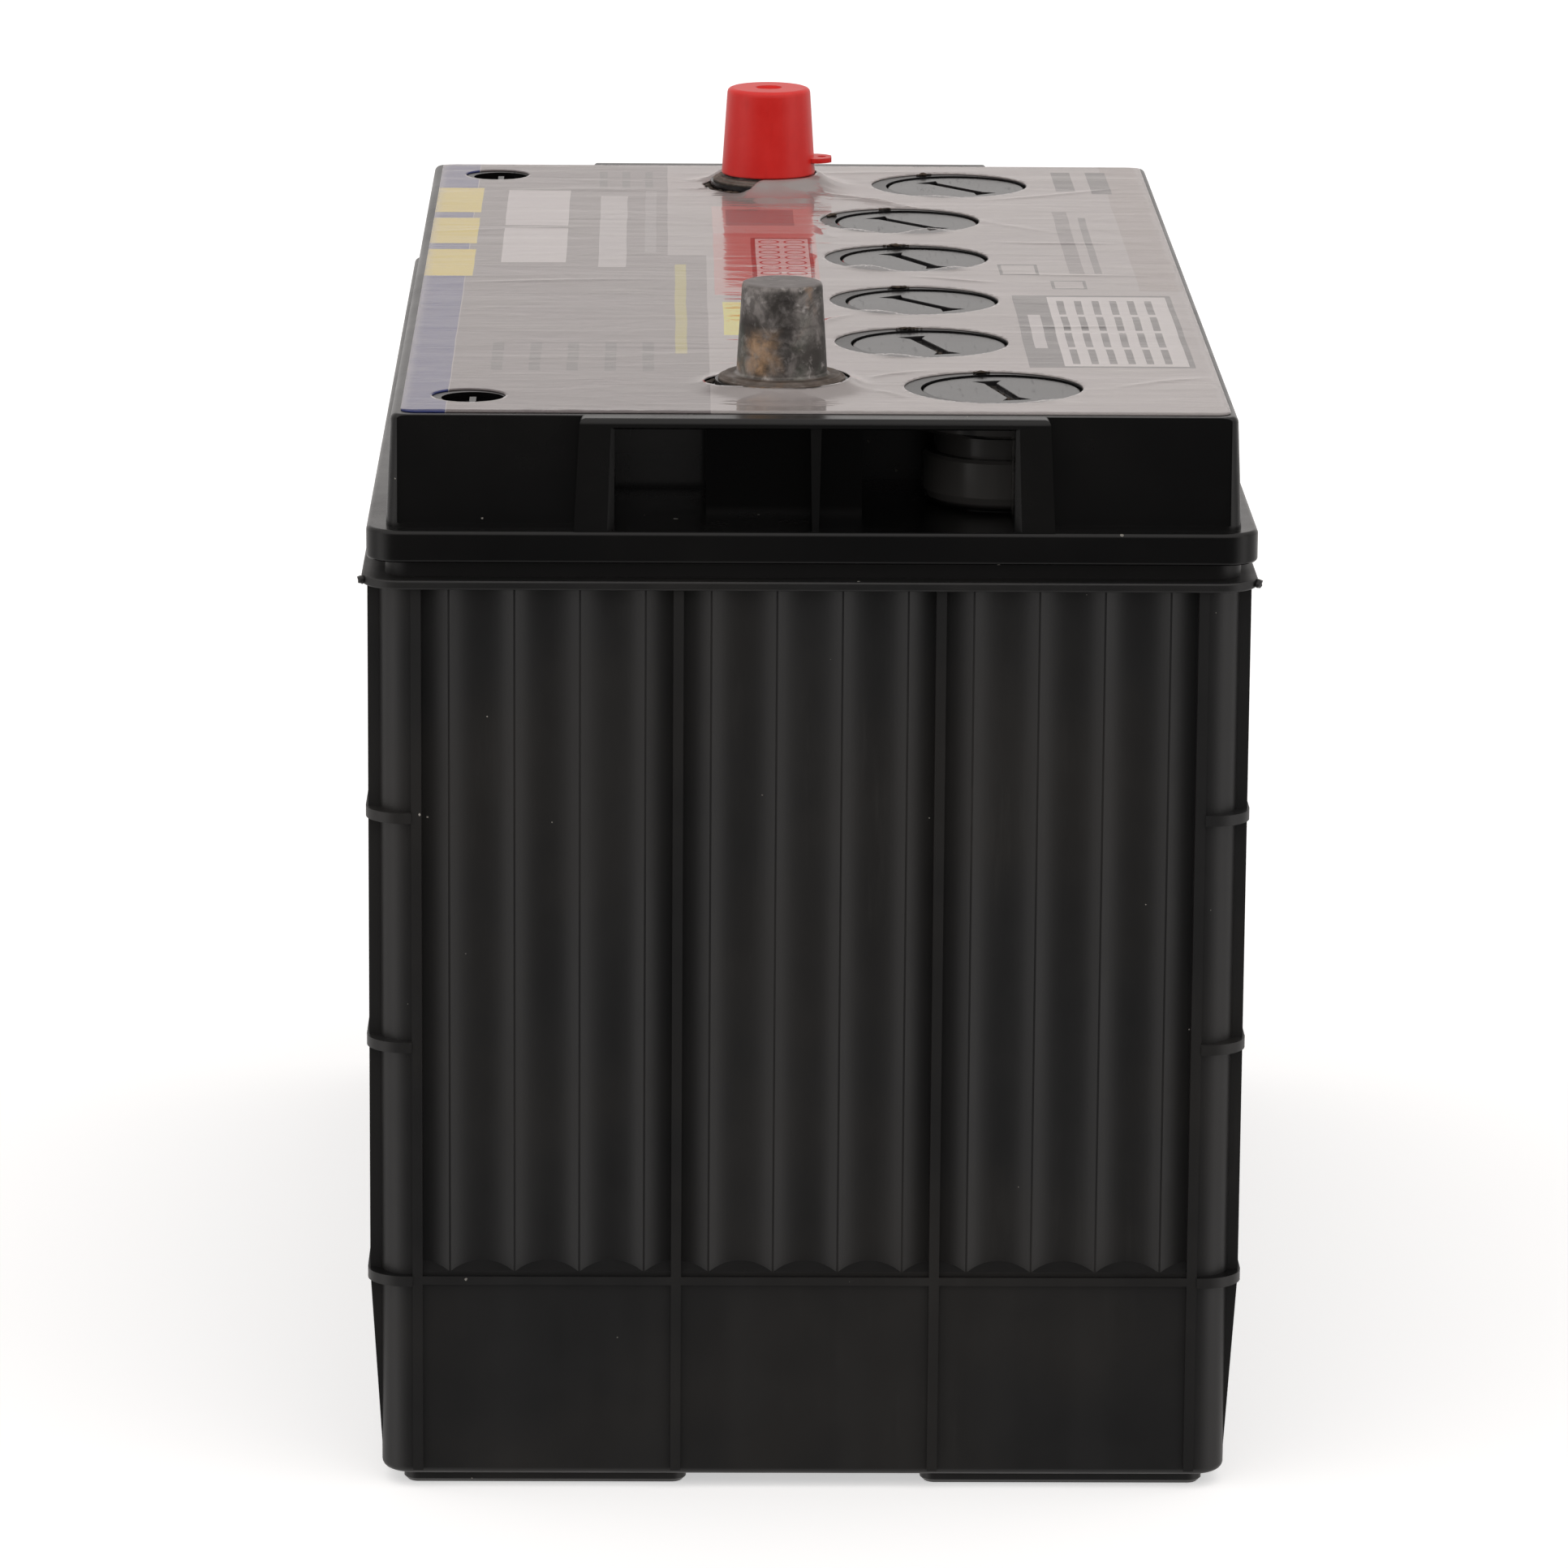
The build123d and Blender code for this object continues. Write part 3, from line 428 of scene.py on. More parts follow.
def lead(name, post_line=True, dull=0.0):
    m, g, out = material(name)
    p = g.pos()
    x, y, z = g.xyz(p)
    edge, bev = edge_mask(g, 0.5 * MM)
    n1 = g.noise(p, 150.0, 4.0, 0.62, 0.6)
    n2 = g.noise(p, 420.0, 4.0, 0.6, 0.4)
    n3 = g.noise(g.v("ADD", p, (0.13, 0.07, 0.02)), 95.0, 3.0, 0.55, 0.8)
    n4 = g.noise(g.v("ADD", p, (0.7, 0.2, 0.5)), 230.0, 4.0, 0.7, 1.0)
    col = g.mix(g.ramp(n1, 0.36, 0.62), (0.085, 0.078, 0.072), (0.34, 0.315, 0.30))
    col = g.mix(g.m("MULTIPLY", g.ramp(n4, 0.44, 0.60), 0.62), col, (0.105, 0.096, 0.090))
    col = g.mix(g.m("MULTIPLY", g.ramp(n2, 0.54, 0.70), 0.60), col, (0.58, 0.55, 0.53))
    brown = g.m("MULTIPLY", g.ramp(n3, 0.55, 0.68), g.ramp(n2, 0.35, 0.6))
    col = g.mix(g.m("MULTIPLY", brown, 0.55), col, (0.48, 0.29, 0.16))
    green = g.ramp(g.noise(g.v("ADD", p, (0.4, 0.1, 0.3)), 80.0, 2.0, 0.5, 0.4), 0.58, 0.72)
    col = g.mix(g.m("MULTIPLY", green, 0.34), col, (0.13, 0.165, 0.13))
    r = g.m("MULTIPLY_ADD", n1, -0.22, 0.62)
    h = g.m("MULTIPLY_ADD", n2, 0.9, g.m("MULTIPLY", n1, 1.2))
    if post_line:
        # parting line half way up the post, soft edged, with a darker band over it
        wav = g.m("MULTIPLY_ADD", g.noise(p, 60.0, 2.0), 0.0012, g.m("SUBTRACT", z, 0.0006))
        line = g.ramp(g.m("ABSOLUTE", g.m("SUBTRACT", wav, 0.2297)), 0.00055, 0.0, 0.0, 1.0)
        line = g.m("MULTIPLY", line, g.ramp(n2, 0.30, 0.55))
        band = g.m("MULTIPLY", g.ramp(wav, 0.2284, 0.2304), g.ramp(wav, 0.2345, 0.2308))
        col = g.mix(g.m("MULTIPLY", line, 0.22), col, (0.07, 0.062, 0.057))
        col = g.mix(g.m("MULTIPLY", band, 0.26), col, (0.09, 0.08, 0.075))
        h = g.m("SUBTRACT", h, g.m("MULTIPLY", line, 0.25))
        # the flat top is duller and paler
        topf = g.ramp(z, 0.23765, 0.23785)
        col = g.mix(g.m("MULTIPLY", topf, 0.7), col, (0.33, 0.305, 0.30))
        r = g.lerp(topf, r, 0.58)
        # golden brown tarnish low on the front left; painted shade: a tall dark band up the middle of the front,
        # broken by noise
        dx = g.m("SUBTRACT", x, NEG.x)
        dy = g.m("SUBTRACT", y, NEG.y)
        az = g.m("ARCTAN2", dy, dx)
        wob = g.m("MULTIPLY", g.m("SUBTRACT", n3, 0.5), 1.6)
        gold = g.m("MULTIPLY", g.ramp(g.m("ABSOLUTE", g.m("ADD", g.m("ADD", az, 2.25), wob)), 0.62, 0.12), g.m("MULTIPLY", g.ramp(z, 0.2305, 0.2262), g.ramp(z, 0.2196, 0.2215)))
        col = g.mix(g.m("MULTIPLY", gold, g.ramp(n2, 0.34, 0.60, 0.15, 0.70)), col, (0.58, 0.37, 0.21))
        front_painted_shade = g.m("MULTIPLY", g.ramp(g.m("ABSOLUTE", g.m("ADD", g.m("ADD", az, 1.50), g.m("MULTIPLY", wob, 0.5))), 0.34, 0.06), g.ramp(z, 0.2215, 0.2250))
        col = g.mix(g.m("MULTIPLY", front_painted_shade, g.m("MULTIPLY", g.ramp(n1, 0.30, 0.60, 0.85, 0.3), g.ramp(z, 0.2376, 0.2370))), col, (0.075, 0.068, 0.066))
        # brown oxide on the flange at the foot
        foot = g.m("MULTIPLY", g.ramp(z, 0.2199, 0.2195), g.ramp(n2, 0.30, 0.58, 0.45, 0.95))
        col = g.mix(g.m("MULTIPLY", foot, 0.75), col, (0.135, 0.095, 0.068))
        r = g.m("MULTIPLY_ADD", foot, 0.12, r)
    col = g.mix(g.m("MULTIPLY", edge, 0.35), col, (0.56, 0.51, 0.47))
    principled(g, out, **{"Base Color": col, "Metallic": 0.82 - dull, "Roughness": r, "Normal": g.bump(h, 0.00022, 0.55, bev)})
    return m


def red_vinyl():
    m, g, out = material("red_vinyl")
    p = g.pos()
    edge, bev = edge_mask(g, 0.5 * MM)
    a = g.noise(p, 110.0, 4.0, 0.6)
    b = g.noise(p, 1500.0, 3.0, 0.6)
    x, y, z = g.xyz(p)
    flow = g.noise(g.vec(g.m("MULTIPLY", x, 1.0), g.m("MULTIPLY", y, 1.0), g.m("MULTIPLY", z, 0.12)), 500.0, 3.0, 0.5)
    col = g.mix(g.ramp(a, 0.3, 0.75), (0.86, 0.012, 0.008), (0.93, 0.026, 0.020))
    col = g.mix(g.m("MULTIPLY", edge, 0.30), col, (0.82, 0.14, 0.12))
    col = g.mix(g.m("MULTIPLY", g.ramp(flow, 0.55, 0.8), 0.20), col, (0.62, 0.008, 0.006))
    r = g.m("MULTIPLY_ADD", a, 0.12, 0.30)
    h = g.m("MULTIPLY_ADD", b, 0.22, g.m("MULTIPLY", flow, 0.5))
    principled(g, out, **{"Base Color": col, "Roughness": r, "IOR": 1.50, "Subsurface Weight": 0.12,
                          "Subsurface Radius": (0.9, 0.15, 0.1), "Subsurface Scale": 0.0012,
                          "Normal": g.bump(h, 0.00008, 0.5, bev)})
    return m


def plain_rubber(name, c0, c1, rough):
    m, g, out = material(name)
    p = g.pos()
    a = g.noise(p, 240.0, 4.0, 0.6)
    b = g.noise(p, 2200.0, 3.0, 0.6)
    principled(g, out, **{"Base Color": g.mix(a, c0, c1), "Roughness": g.m("MULTIPLY_ADD", b, 0.15, rough),
                          "Normal": g.bump(b, 0.00006, 0.5)})
    return m


def paste(name, c0, c1, metal):
    """Pasted grid: the diamond wires of the cast grid show faintly through cracked paste."""
    m, g, out = material(name)
    p = g.pos()
    x, y, z = g.xyz(p)
    u = g.m("ABSOLUTE", g.m("SINE", g.m("MULTIPLY", g.m("ADD", x, z), 420.0)))
    w = g.m("ABSOLUTE", g.m("SINE", g.m("MULTIPLY", g.m("SUBTRACT", x, z), 420.0)))
    wire = g.ramp(g.m("MINIMUM", u, w), 0.16, 0.05, 0.0, 1.0)
    n = g.noise(p, 320.0, 5.0, 0.65)
    crack, _ = g.voro(p, 300.0, "DISTANCE_TO_EDGE")
    cr = g.ramp(crack, 0.05, 0.0, 0.0, 1.0)
    col = g.mix(n, c0, c1)
    col = g.mix(g.m("MULTIPLY", wire, 0.5), col, (0.24, 0.24, 0.25))
    col = g.mix(g.m("MULTIPLY", cr, 0.5), col, (0.02, 0.015, 0.012))
    h = g.m("ADD", g.m("MULTIPLY", n, 0.5), g.m("SUBTRACT", wire, cr))
    principled(g, out, **{"Base Color": col, "Metallic": metal, "Roughness": g.m("MULTIPLY_ADD", n, 0.2, 0.6),
                          "Normal": g.bump(h, 0.0002, 0.6)})
    return m


def separator_mat():
    m, g, out = material("separator_sheet")
    p = g.pos()
    n = g.noise(p, 900.0, 4.0, 0.7)
    k = g.noise(p, 40.0, 3.0, 0.5)
    col = g.mix(n, (0.09, 0.09, 0.088), (0.15, 0.148, 0.14))
    principled(g, out, **{"Base Color": g.mix(g.m("MULTIPLY", k, 0.3), col, (0.2, 0.19, 0.17)), "Roughness": g.m("MULTIPLY_ADD", n, 0.2, 0.62),
                          "Normal": g.bump(n, 0.00015, 0.5)})
    return m


def natural_pp():
    m, g, out = material("natural_polypropylene")
    p = g.pos()
    n = g.noise(p, 200.0, 4.0, 0.6)
    principled(g, out, **{"Base Color": g.mix(n, (0.50, 0.49, 0.45), (0.62, 0.61, 0.57)), "Roughness": g.m("MULTIPLY_ADD", n, 0.12, 0.34),
                          "Subsurface Weight": 0.2, "Subsurface Radius": (0.6, 0.6, 0.5), "Subsurface Scale": 0.001,
                          "Normal": g.bump(n, 0.00008, 0.4)})
    return m


# ---------------------------------------------------------------- the printed label
SILVER = (0.47, 0.435, 0.425)
PANEL = (0.190, 0.165, 0.165)
# x0, x1, y0, y1 in mm, colour, slant (mm of y per mm of x)
PRINT = [
    # grey field on the left, with a slanted step
    (-71.6, -28.5, 26.0, 160.0, PANEL, 0.0), (-71.6, -20.2, -160.0, 30.0, PANEL, 0.0),
    (-28.6, -20.2, 20.0, 44.0, PANEL, -1.4),
    # blue edge strip with three plain yellow blocks
    (-84.0, -71.8, -160.0, 160.0, (0.014, 0.030, 0.190), 0.0),
    (-84.0, -70.2, 2.0, 37.0, (0.90, 0.70, 0.03), 0.0), (-84.0, -70.2, 45.0, 80.0, (0.90, 0.70, 0.03), 0.0),
    (-84.0, -70.2, 88.0, 123.0, (0.90, 0.70, 0.03), 0.0),
    # plain bars in place of printing on the grey field
    (-64.5, -50.5, 20.0, 66.0, (0.66, 0.62, 0.62), 0.0), (-64.5, -50.5, 70.0, 120.0, (0.66, 0.62, 0.62), 0.0),
    (-43.5, -37.5, 14.0, 112.0, (0.52, 0.49, 0.49), 0.0),
    (-33.5, -31.0, 34.0, 120.0, (0.30, 0.28, 0.28), 0.0),
    (-27.0, -24.6, -92.0, 18.0, (0.50, 0.44, 0.06), 0.0),
    # warm panel in the middle with a blank punch-out date grid
    (-18.6, 4.0, -21.0, 60.0, (0.60, 0.27, 0.25), 0.0), (-18.6, 4.0, 60.0, 98.0, (0.64, 0.44, 0.42), 0.0),
    (-15.6, -0.4, 71.0, 93.0, (0.30, 0.285, 0.285), 0.0),
    (-10.4, 3.0, -19.0, 54.0, (0.26, 0.04, 0.04), 0.0), (-9.4, 2.2, -17.6, 52.6, (0.78, 0.74, 0.73), 0.0),
    (-17.0, -9.6, -70.0, -30.0, (0.86, 0.80, 0.06), 0.0),
    # grey framed box of blank rows on the right
    (44.0, 77.4, -106.5, -20.0, (0.045, 0.042, 0.044), 0.0), (51.2, 76.2, -104.8, -21.8, (0.74, 0.71, 0.70), 0.0),
    (46.2, 48.8, -84.0, -44.0, (0.60, 0.57, 0.57), 0.0),
    # small plain outline boxes
    (42.5, 51.0, 6.0, 20.0, (0.02, 0.02, 0.02), 0.0), (43.2, 50.3, 7.2, 18.8, SILVER, 0.0),
    (53.0, 60.5, -12.0, -1.0, (0.03, 0.03, 0.03), 0.0), (53.7, 59.8, -10.8, -2.2, SILVER, 0.0),
    # strip along the right edge
    (71.5, 84.0, -14.0, 160.0, (0.34, 0.29, 0.27), 0.0),
    (57.6, 60.8, 8.0, 92.0, (0.17, 0.15, 0.15), 0.0), (63.0, 64.6, 8.0, 84.0, (0.13, 0.12, 0.12), 0.0),
    (60.0, 64.4, 122.0, 150.0, (0.03, 0.028, 0.028), 0.0), (68.0, 72.6, 118.0, 150.0, (0.03, 0.028, 0.028), 0.0),
]


def line_rows(x0, x1, y0, y1, pitch, width, along="y"):
    return (x0, x1, y0, y1, pitch, width, along)


ROWS = [
    # blank ruled rows: x0, x1, y0, y1, pitch, share inked, colour, breaks
    (53.0, 75.0, -102.0, -24.0, 3.7, 0.40, (0.055, 0.05, 0.052), 19.5),
    (-64.0, -30.0, -112.0, -78.0, 7.6, 0.30, (0.085, 0.078, 0.078), 11.3),
    (-44.0, -30.0, 124.0, 148.0, 5.2, 0.34, (0.08, 0.074, 0.074), 14.0),
]


def label_print():
    m, g, out = material("printed_label")
    p = g.pos()
    mmv = g.v("SCALE", p, 1000.0)
    # slight registration wander, so that printed edges are not ruler straight
    wob = g.v("SCALE", g.v("SUBTRACT", g.noise(p, 45.0, 2.0, 0.5, out="Color"), (0.5, 0.5, 0.5)), 0.5)
    x, y, z = g.xyz(g.v("ADD", mmv, wob))
    base_n = g.noise(p, 16.0, 4.0, 0.55)
    col = g.mix(g.ramp(base_n, 0.3, 0.7), SILVER, tuple(c * 0.86 for c in SILVER))

    def box(x0, x1, y0, y1, slant):
        yy = g.m("MULTIPLY_ADD", g.m("ADD", x, 76.0), -slant, y) if slant else y
        a = g.m("COMPARE", x, (x0 + x1) / 2, (x1 - x0) / 2)
        b = g.m("COMPARE", yy, (y0 + y1) / 2, (y1 - y0) / 2)
        return g.m("MULTIPLY", a, b)

    for x0, x1, y0, y1, c, slant in PRINT:
        col = g.mix(box(x0, x1, y0, y1, slant), col, c)
    for x0, x1, y0, y1, pitch, share, c, brk in ROWS:
        fx = g.m("FRACT", g.m("DIVIDE", g.m("SUBTRACT", x, x0), pitch))
        fy = g.m("FRACT", g.m("DIVIDE", g.m("SUBTRACT", y, y0), brk))
        ink = g.m("MULTIPLY", g.m("LESS_THAN", fx, share), g.m("LESS_THAN", fy, 0.86))
        col = g.mix(g.m("MULTIPLY", box(x0, x1, y0, y1, 0.0), ink), col, c)
    # blank ovals of the punch-out grid, two columns
    ux = g.m("SUBTRACT", g.m("FRACT", g.m("DIVIDE", g.m("ADD", x, 9.2), 5.6)), 0.5)
    uy = g.m("SUBTRACT", g.m("FRACT", g.m("DIVIDE", g.m("ADD", y, 17.0), 6.9)), 0.5)
    rr = g.m("SQRT", g.m("ADD", g.m("POWER", g.m("MULTIPLY", ux, 2.3), 2.0), g.m("POWER", g.m("MULTIPLY", uy, 2.6), 2.0)))
    ring = g.m("COMPARE", rr, 0.86, 0.10)
    col = g.mix(g.m("MULTIPLY", box(-9.2, 2.0, -17.0, 52.0, 0.0), ring), col, (0.42, 0.03, 0.03))
    # print grain and handling grime
    gr = g.noise(p, 1600.0, 2.0, 0.5)
    col = g.mix(g.m("MULTIPLY", gr, 0.10), col, (0.05, 0.05, 0.05))
    dirt = g.ramp(g.noise(p, 34.0, 5.0, 0.7), 0.58, 0.82)
    col = g.mix(g.m("MULTIPLY", dirt, 0.16), col, (0.12, 0.10, 0.085))
    h = g.m("MULTIPLY_ADD", gr, 0.3, g.noise(p, 70.0, 3.0))
    principled(g, out, **{"Base Color": col, "Roughness": g.m("MULTIPLY_ADD", base_n, 0.15, 0.42), "IOR": 1.45,
                          "Normal": g.bump(h, 0.00006, 0.5)})
    return m


def residue_mat():
    """Dried brown grime and paper fibre left at cut label edges and in the coin slots."""
    m, g, out = material("brown_residue")
    p = g.pos()
    a = g.noise(p, 900.0, 4.0, 0.65)
    b = g.noise(p, 260.0, 3.0, 0.6)
    col = g.mix(g.ramp(a, 0.3, 0.7), (0.020, 0.013, 0.009), (0.085, 0.058, 0.038))
    col = g.mix(g.m("MULTIPLY", g.ramp(b, 0.56, 0.74), 0.5), col, (0.20, 0.17, 0.14))
    principled(g, out, **{"Base Color": col, "Roughness": g.m("MULTIPLY_ADD", a, 0.3, 0.55), "Normal": g.bump(a, 0.0003, 0.8)})
    return m


def film_mat():
    """Clear glossy film: see-through, with a mirror-like coat by Fresnel, and faint haze."""
    m, g, out = material("clear_film")
    p = g.pos()
    n1 = g.noise(p, 55.0, 4.0, 0.55, 0.7)
    n2 = g.noise(p, 520.0, 3.0, 0.6)
    x, y, z = g.xyz(p)
    # long shallow ripples left by hand smoothing, mostly running across the width
    rip = g.noise(g.vec(g.m("MULTIPLY", x, 12.0), g.m("MULTIPLY", y, 85.0), 0.0), 1.0, 3.0, 0.6, 0.4)
    h = g.m("ADD", g.m("MULTIPLY", n1, 0.7), g.m("ADD", g.m("MULTIPLY", rip, 1.0), g.m("MULTIPLY", n2, 0.03)))
    nrm = g.bump(h, 0.00060, 0.5)
    fr = g.node("ShaderNodeFresnel")
    g.put(fr.inputs[0], 1.50)
    g.put(fr.inputs["Normal"], nrm)
    front = g.node("ShaderNodeNewGeometry").outputs["Backfacing"]
    fac = g.m("MULTIPLY", g.m("MULTIPLY", fr.outputs[0], 1.06), g.m("SUBTRACT", 1.0, front), clamp=True)
    gl = g.node("ShaderNodeBsdfGlossy")
    g.put(gl.inputs["Color"], g.mix(n1, (1.0, 0.955, 0.965), (1.0, 0.975, 0.955)))
    g.put(gl.inputs["Roughness"], g.m("MULTIPLY_ADD", n1, 0.07, 0.05))
    g.put(gl.inputs["Normal"], nrm)
    tr = g.node("ShaderNodeBsdfTransparent")
    g.put(tr.inputs[0], g.mix(n1, (0.965, 0.96, 0.96), (0.985, 0.98, 0.98)))
    mx = g.node("ShaderNodeMixShader")
    g.put(mx.inputs[0], fac)
    g.t.links.new(tr.outputs[0], mx.inputs[1])
    g.t.links.new(gl.outputs[0], mx.inputs[2])
    g.t.links.new(mx.outputs[0], out.inputs[0])
    return m


M = {
    "case": black_plastic("jar_black", (0.0096, 0.0096, 0.0098), (0.0140, 0.0128, 0.0116), 0.40, 0.45, 0.30, 0, 0.62, 0.26, 0.5, spec=0.56, extra=jar_extra, ledges=(0.0429, 0.0908, 0.1372, 0.1851)),
    "cover": black_plastic("cover_black", (0.0026, 0.0026, 0.0027), (0.0050, 0.0047, 0.0044), 0.25, 0.6, 0.18, 0, 0.34, 0.30, 0.35, spec=0.40, extra=cover_extra, ledges=(0.1948,)),
    "vent": vent_plastic(),
    "lead": lead("terminal_lead"),
    "cast": lead("cast_lead", post_line=False, dull=0.1),
    "red": red_vinyl(),
    "rubber": plain_rubber("gasket_rubber", (0.018, 0.018, 0.018), (0.035, 0.034, 0.033), 0.55),
    "baffle": natural_pp(),
    "pos": paste("positive_paste", (0.050, 0.022, 0.014), (0.11, 0.05, 0.03), 0.0),
    "neg": paste("negative_paste", (0.16, 0.17, 0.18), (0.28, 0.29, 0.31), 0.35),
    "sep": separator_mat(),
    "label": label_print(),
    "film": film_mat(),
    "residue": residue_mat(),
    "flash": black_plastic("flash_black", (0.012, 0.012, 0.012), (0.020, 0.019, 0.018), 0.36, 0.5, 0.35, 0.3, 0.6, 0.2, 0.4),
}


def paint(obj, mat):
    if not obj.material_slots:
        obj.data.materials.append(mat)
    for s in obj.material_slots:
        s.material = mat


for name, o in N.items():
    if name == "case":
        k = "case"
    elif name == "cover":
        k = "cover"
    elif "bushing" in name:
        k = "lead"
    elif name in ("negative_post", "positive_post") or name.endswith("_strap") or name == "intercell_welds":
        k = "cast"
    elif name == "positive_post_cap":
        k = "red"
    elif name == "top_label":
        k = "label"
    elif name == "label_film":
        k = "film"
    elif name.startswith("vent_cap"):
        k = "vent"
    elif name.startswith("vent_gasket"):
        k = "rubber"
    elif name.startswith("vent_baffle"):
        k = "baffle"
    elif name.endswith("positive_plates"):
        k = "pos"
    elif name.endswith("negative_plates"):
        k = "neg"
    else:
        k = "sep"
    paint(o, M[k])


# ---------------------------------------------------------------- helpers for pieces
def link(name, bm, mat, body, smooth=True):
    me = bpy.data.meshes.new(name)
    bm.to_mesh(me)
    bm.free()
    if smooth:
        me.polygons.foreach_set("use_smooth", [True] * len(me.polygons))
    o = bpy.data.objects.new(name, me)
    scene.collection.objects.link(o)
    me.materials.append(mat)
    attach(o, body)
    return o


def smooth(a, b, x):
    t = max(0.0, min(1.0, (x - a) / (b - a)))
    return t * t * (3.0 - 2.0 * t)


# ---------------------------------------------------------------- printed sheet and clear film
# round holes follow the printed sheet's: centre, radius (m)
HOLES = [(v.x - 0.0016, v.y + 0.0003, 0.01775) for v in VENT]
HOLES += [(-0.0676, -0.1405, 0.00725), (-0.0676, 0.1423, 0.00725)]


def post_hole(k, a):
    """Radius (mm) of the torn hole round a post: k 0 negative, 1 positive; a in radians about the post."""
    if k == 0:
        c = max(0.0, math.cos(a - math.radians(156)))
        return 13.45 + 2.3 * c * c * c + 0.10 * math.sin(5 * a + 1.0) + 0.08 * math.sin(9 * a)
    d = math.degrees(a) % 360.0
    # tight from the front through the right to the rear, open on the left
    if d > 262.0:
        t = 0.0
    elif d < 150.0:
        t = 0.0
    elif d < 176.0:
        t = smooth(150.0, 176.0, d)
    elif d < 236.0:
        t = 1.0
    else:
        t = 1.0 - smooth(236.0, 262.0, d)
    return 11.0 + 3.9 * t + 0.12 * math.sin(7 * a + 0.4) * (1.0 - t) + 0.25 * math.sin(11 * a) * t


POSTS = [(NEG.x, NEG.y), (POS.x, POS.y)]
# profile of the sheet over each flange: radius, height over the cover plane (mm)
TENT = [
    [(0.0, 2.05), (13.0, 2.02), (13.5, 1.86), (14.2, 1.35), (15.5, 0.72), (17.0, 0.24), (19.0, 0.0)],
    [(0.0, 3.14), (10.9, 3.12), (11.9, 3.02), (12.7, 2.62), (13.4, 2.05), (14.6, 1.25), (16.4, 0.55), (18.4, 0.16), (20.5, 0.0)],
]


def tent(x, y):
    """Lift (mm) of sheet and film together where they ride up over the post flanges."""
    h = 0.0
    for k, (px, py) in enumerate(POSTS):
        r = math.hypot(x - px, y - py) * 1000.0
        if r > 21.0:
            continue
        prof = TENT[k]
        for (r0, h0), (r1, h1) in zip(prof, prof[1:]):
            if r0 <= r <= r1:
                t = (r - r0) / (r1 - r0)
                v = h0 + (h1 - h0) * t
                a = math.atan2(y - py, x - px)
                # tugged folds in the slope, radiating from the post
                fold = 1.0 + 0.10 * math.sin(9.0 * a + 1.3 * k) * smooth(13.2, 15.5, r) + 0.06 * math.sin(17.0 * a) * smooth(13.2, 15.5, r)
                if k == 1:
                    # on the open side the sheet lies flat on the cover
                    d = math.degrees(a) % 360.0
                    flat = smooth(150.0, 172.0, d) * (1.0 - smooth(240.0, 264.0, d))
                    v *= 1.0 - 0.80 * flat
                else:
                    c = max(0.0, math.cos(a - math.radians(168)))
                    v *= 1.0 - 0.35 * c * c
                h = max(h, v * fold)
                break
    return h


# creases of the film: start, end (mm), height (mm), half width (mm)
CREASES = [
    ((4, 117), (30, 91), 0.62, 0.9), ((30, 91), (58, 62), 0.16, 1.4), ((8, 108), (26, 100), 0.28, 0.8), ((3, -62), (9, -46), 0.30, 1.0),
    ((43, 50), (70, 46), 0.20, 1.2), ((44, -58), (66, -60), 0.22, 1.1), ((5, 2), (5, 36), 0.16, 1.3), ((-78, 62), (-40, 66), 0.12, 1.6),
    ((-78, -8), (-30, -3), 0.14, 1.5), ((-66, 118), (-30, 121), 0.14, 1.6), ((42, 108), (74, 124), 0.20, 1.2), ((46, 8), (74, 3), 0.18, 1.1),
    ((9, 54), (5, 72), 0.26, 1.1), ((-24, 146), (46, 149), 0.16, 1.4), ((24, 1), (42, -3), 0.24, 1.0), ((60, -128), (79, -120), 0.18, 1.1),
    ((-22, 136), (-13, 131), 0.40, 0.7), ((-25, 124), (-17, 121), 0.30, 0.7), ((12, -122), (22, -110), 0.22, 0.9), ((10, -134), (20, -142), 0.18, 0.9),
]
# lifted lips of film at the near edges of some vent holes: vent index, angle (deg, 0 = +X), reach, height (mm)
LIPS = [(1, -108, 7.0, 0.55), (3, -118, 8.0, 0.95), (3, -60, 6.0, 0.70), (2, -116, 7.0, 0.60), (4, -72, 8.0, 1.05), (4, -124, 6.0, 0.45), (5, -100, 6.0, 0.40), (0, -60, 6.0, 0.25)]


def seg_dist(px, py, a, b):
    ax, ay = a[0] * MM, a[1] * MM
    bx, by = b[0] * MM, b[1] * MM
    dx, dy = bx - ax, by - ay
    t = max(0.0, min(1.0, ((px - ax) * dx + (py - ay) * dy) / (dx * dx + dy * dy)))
    fade = math.sin(math.pi * min(1.0, max(0.0, 0.08 + 0.84 * t)))
    # bend the crease a little along its length
    off = 0.0016 * math.sin(3.1 * t + ax * 90.0)
    qx, qy = ax + t * dx, ay + t * dy
    ln = math.hypot(dx, dy)
    qx += -dy / ln * off
    qy += dx / ln * off
    return math.hypot(px - qx, py - qy), fade


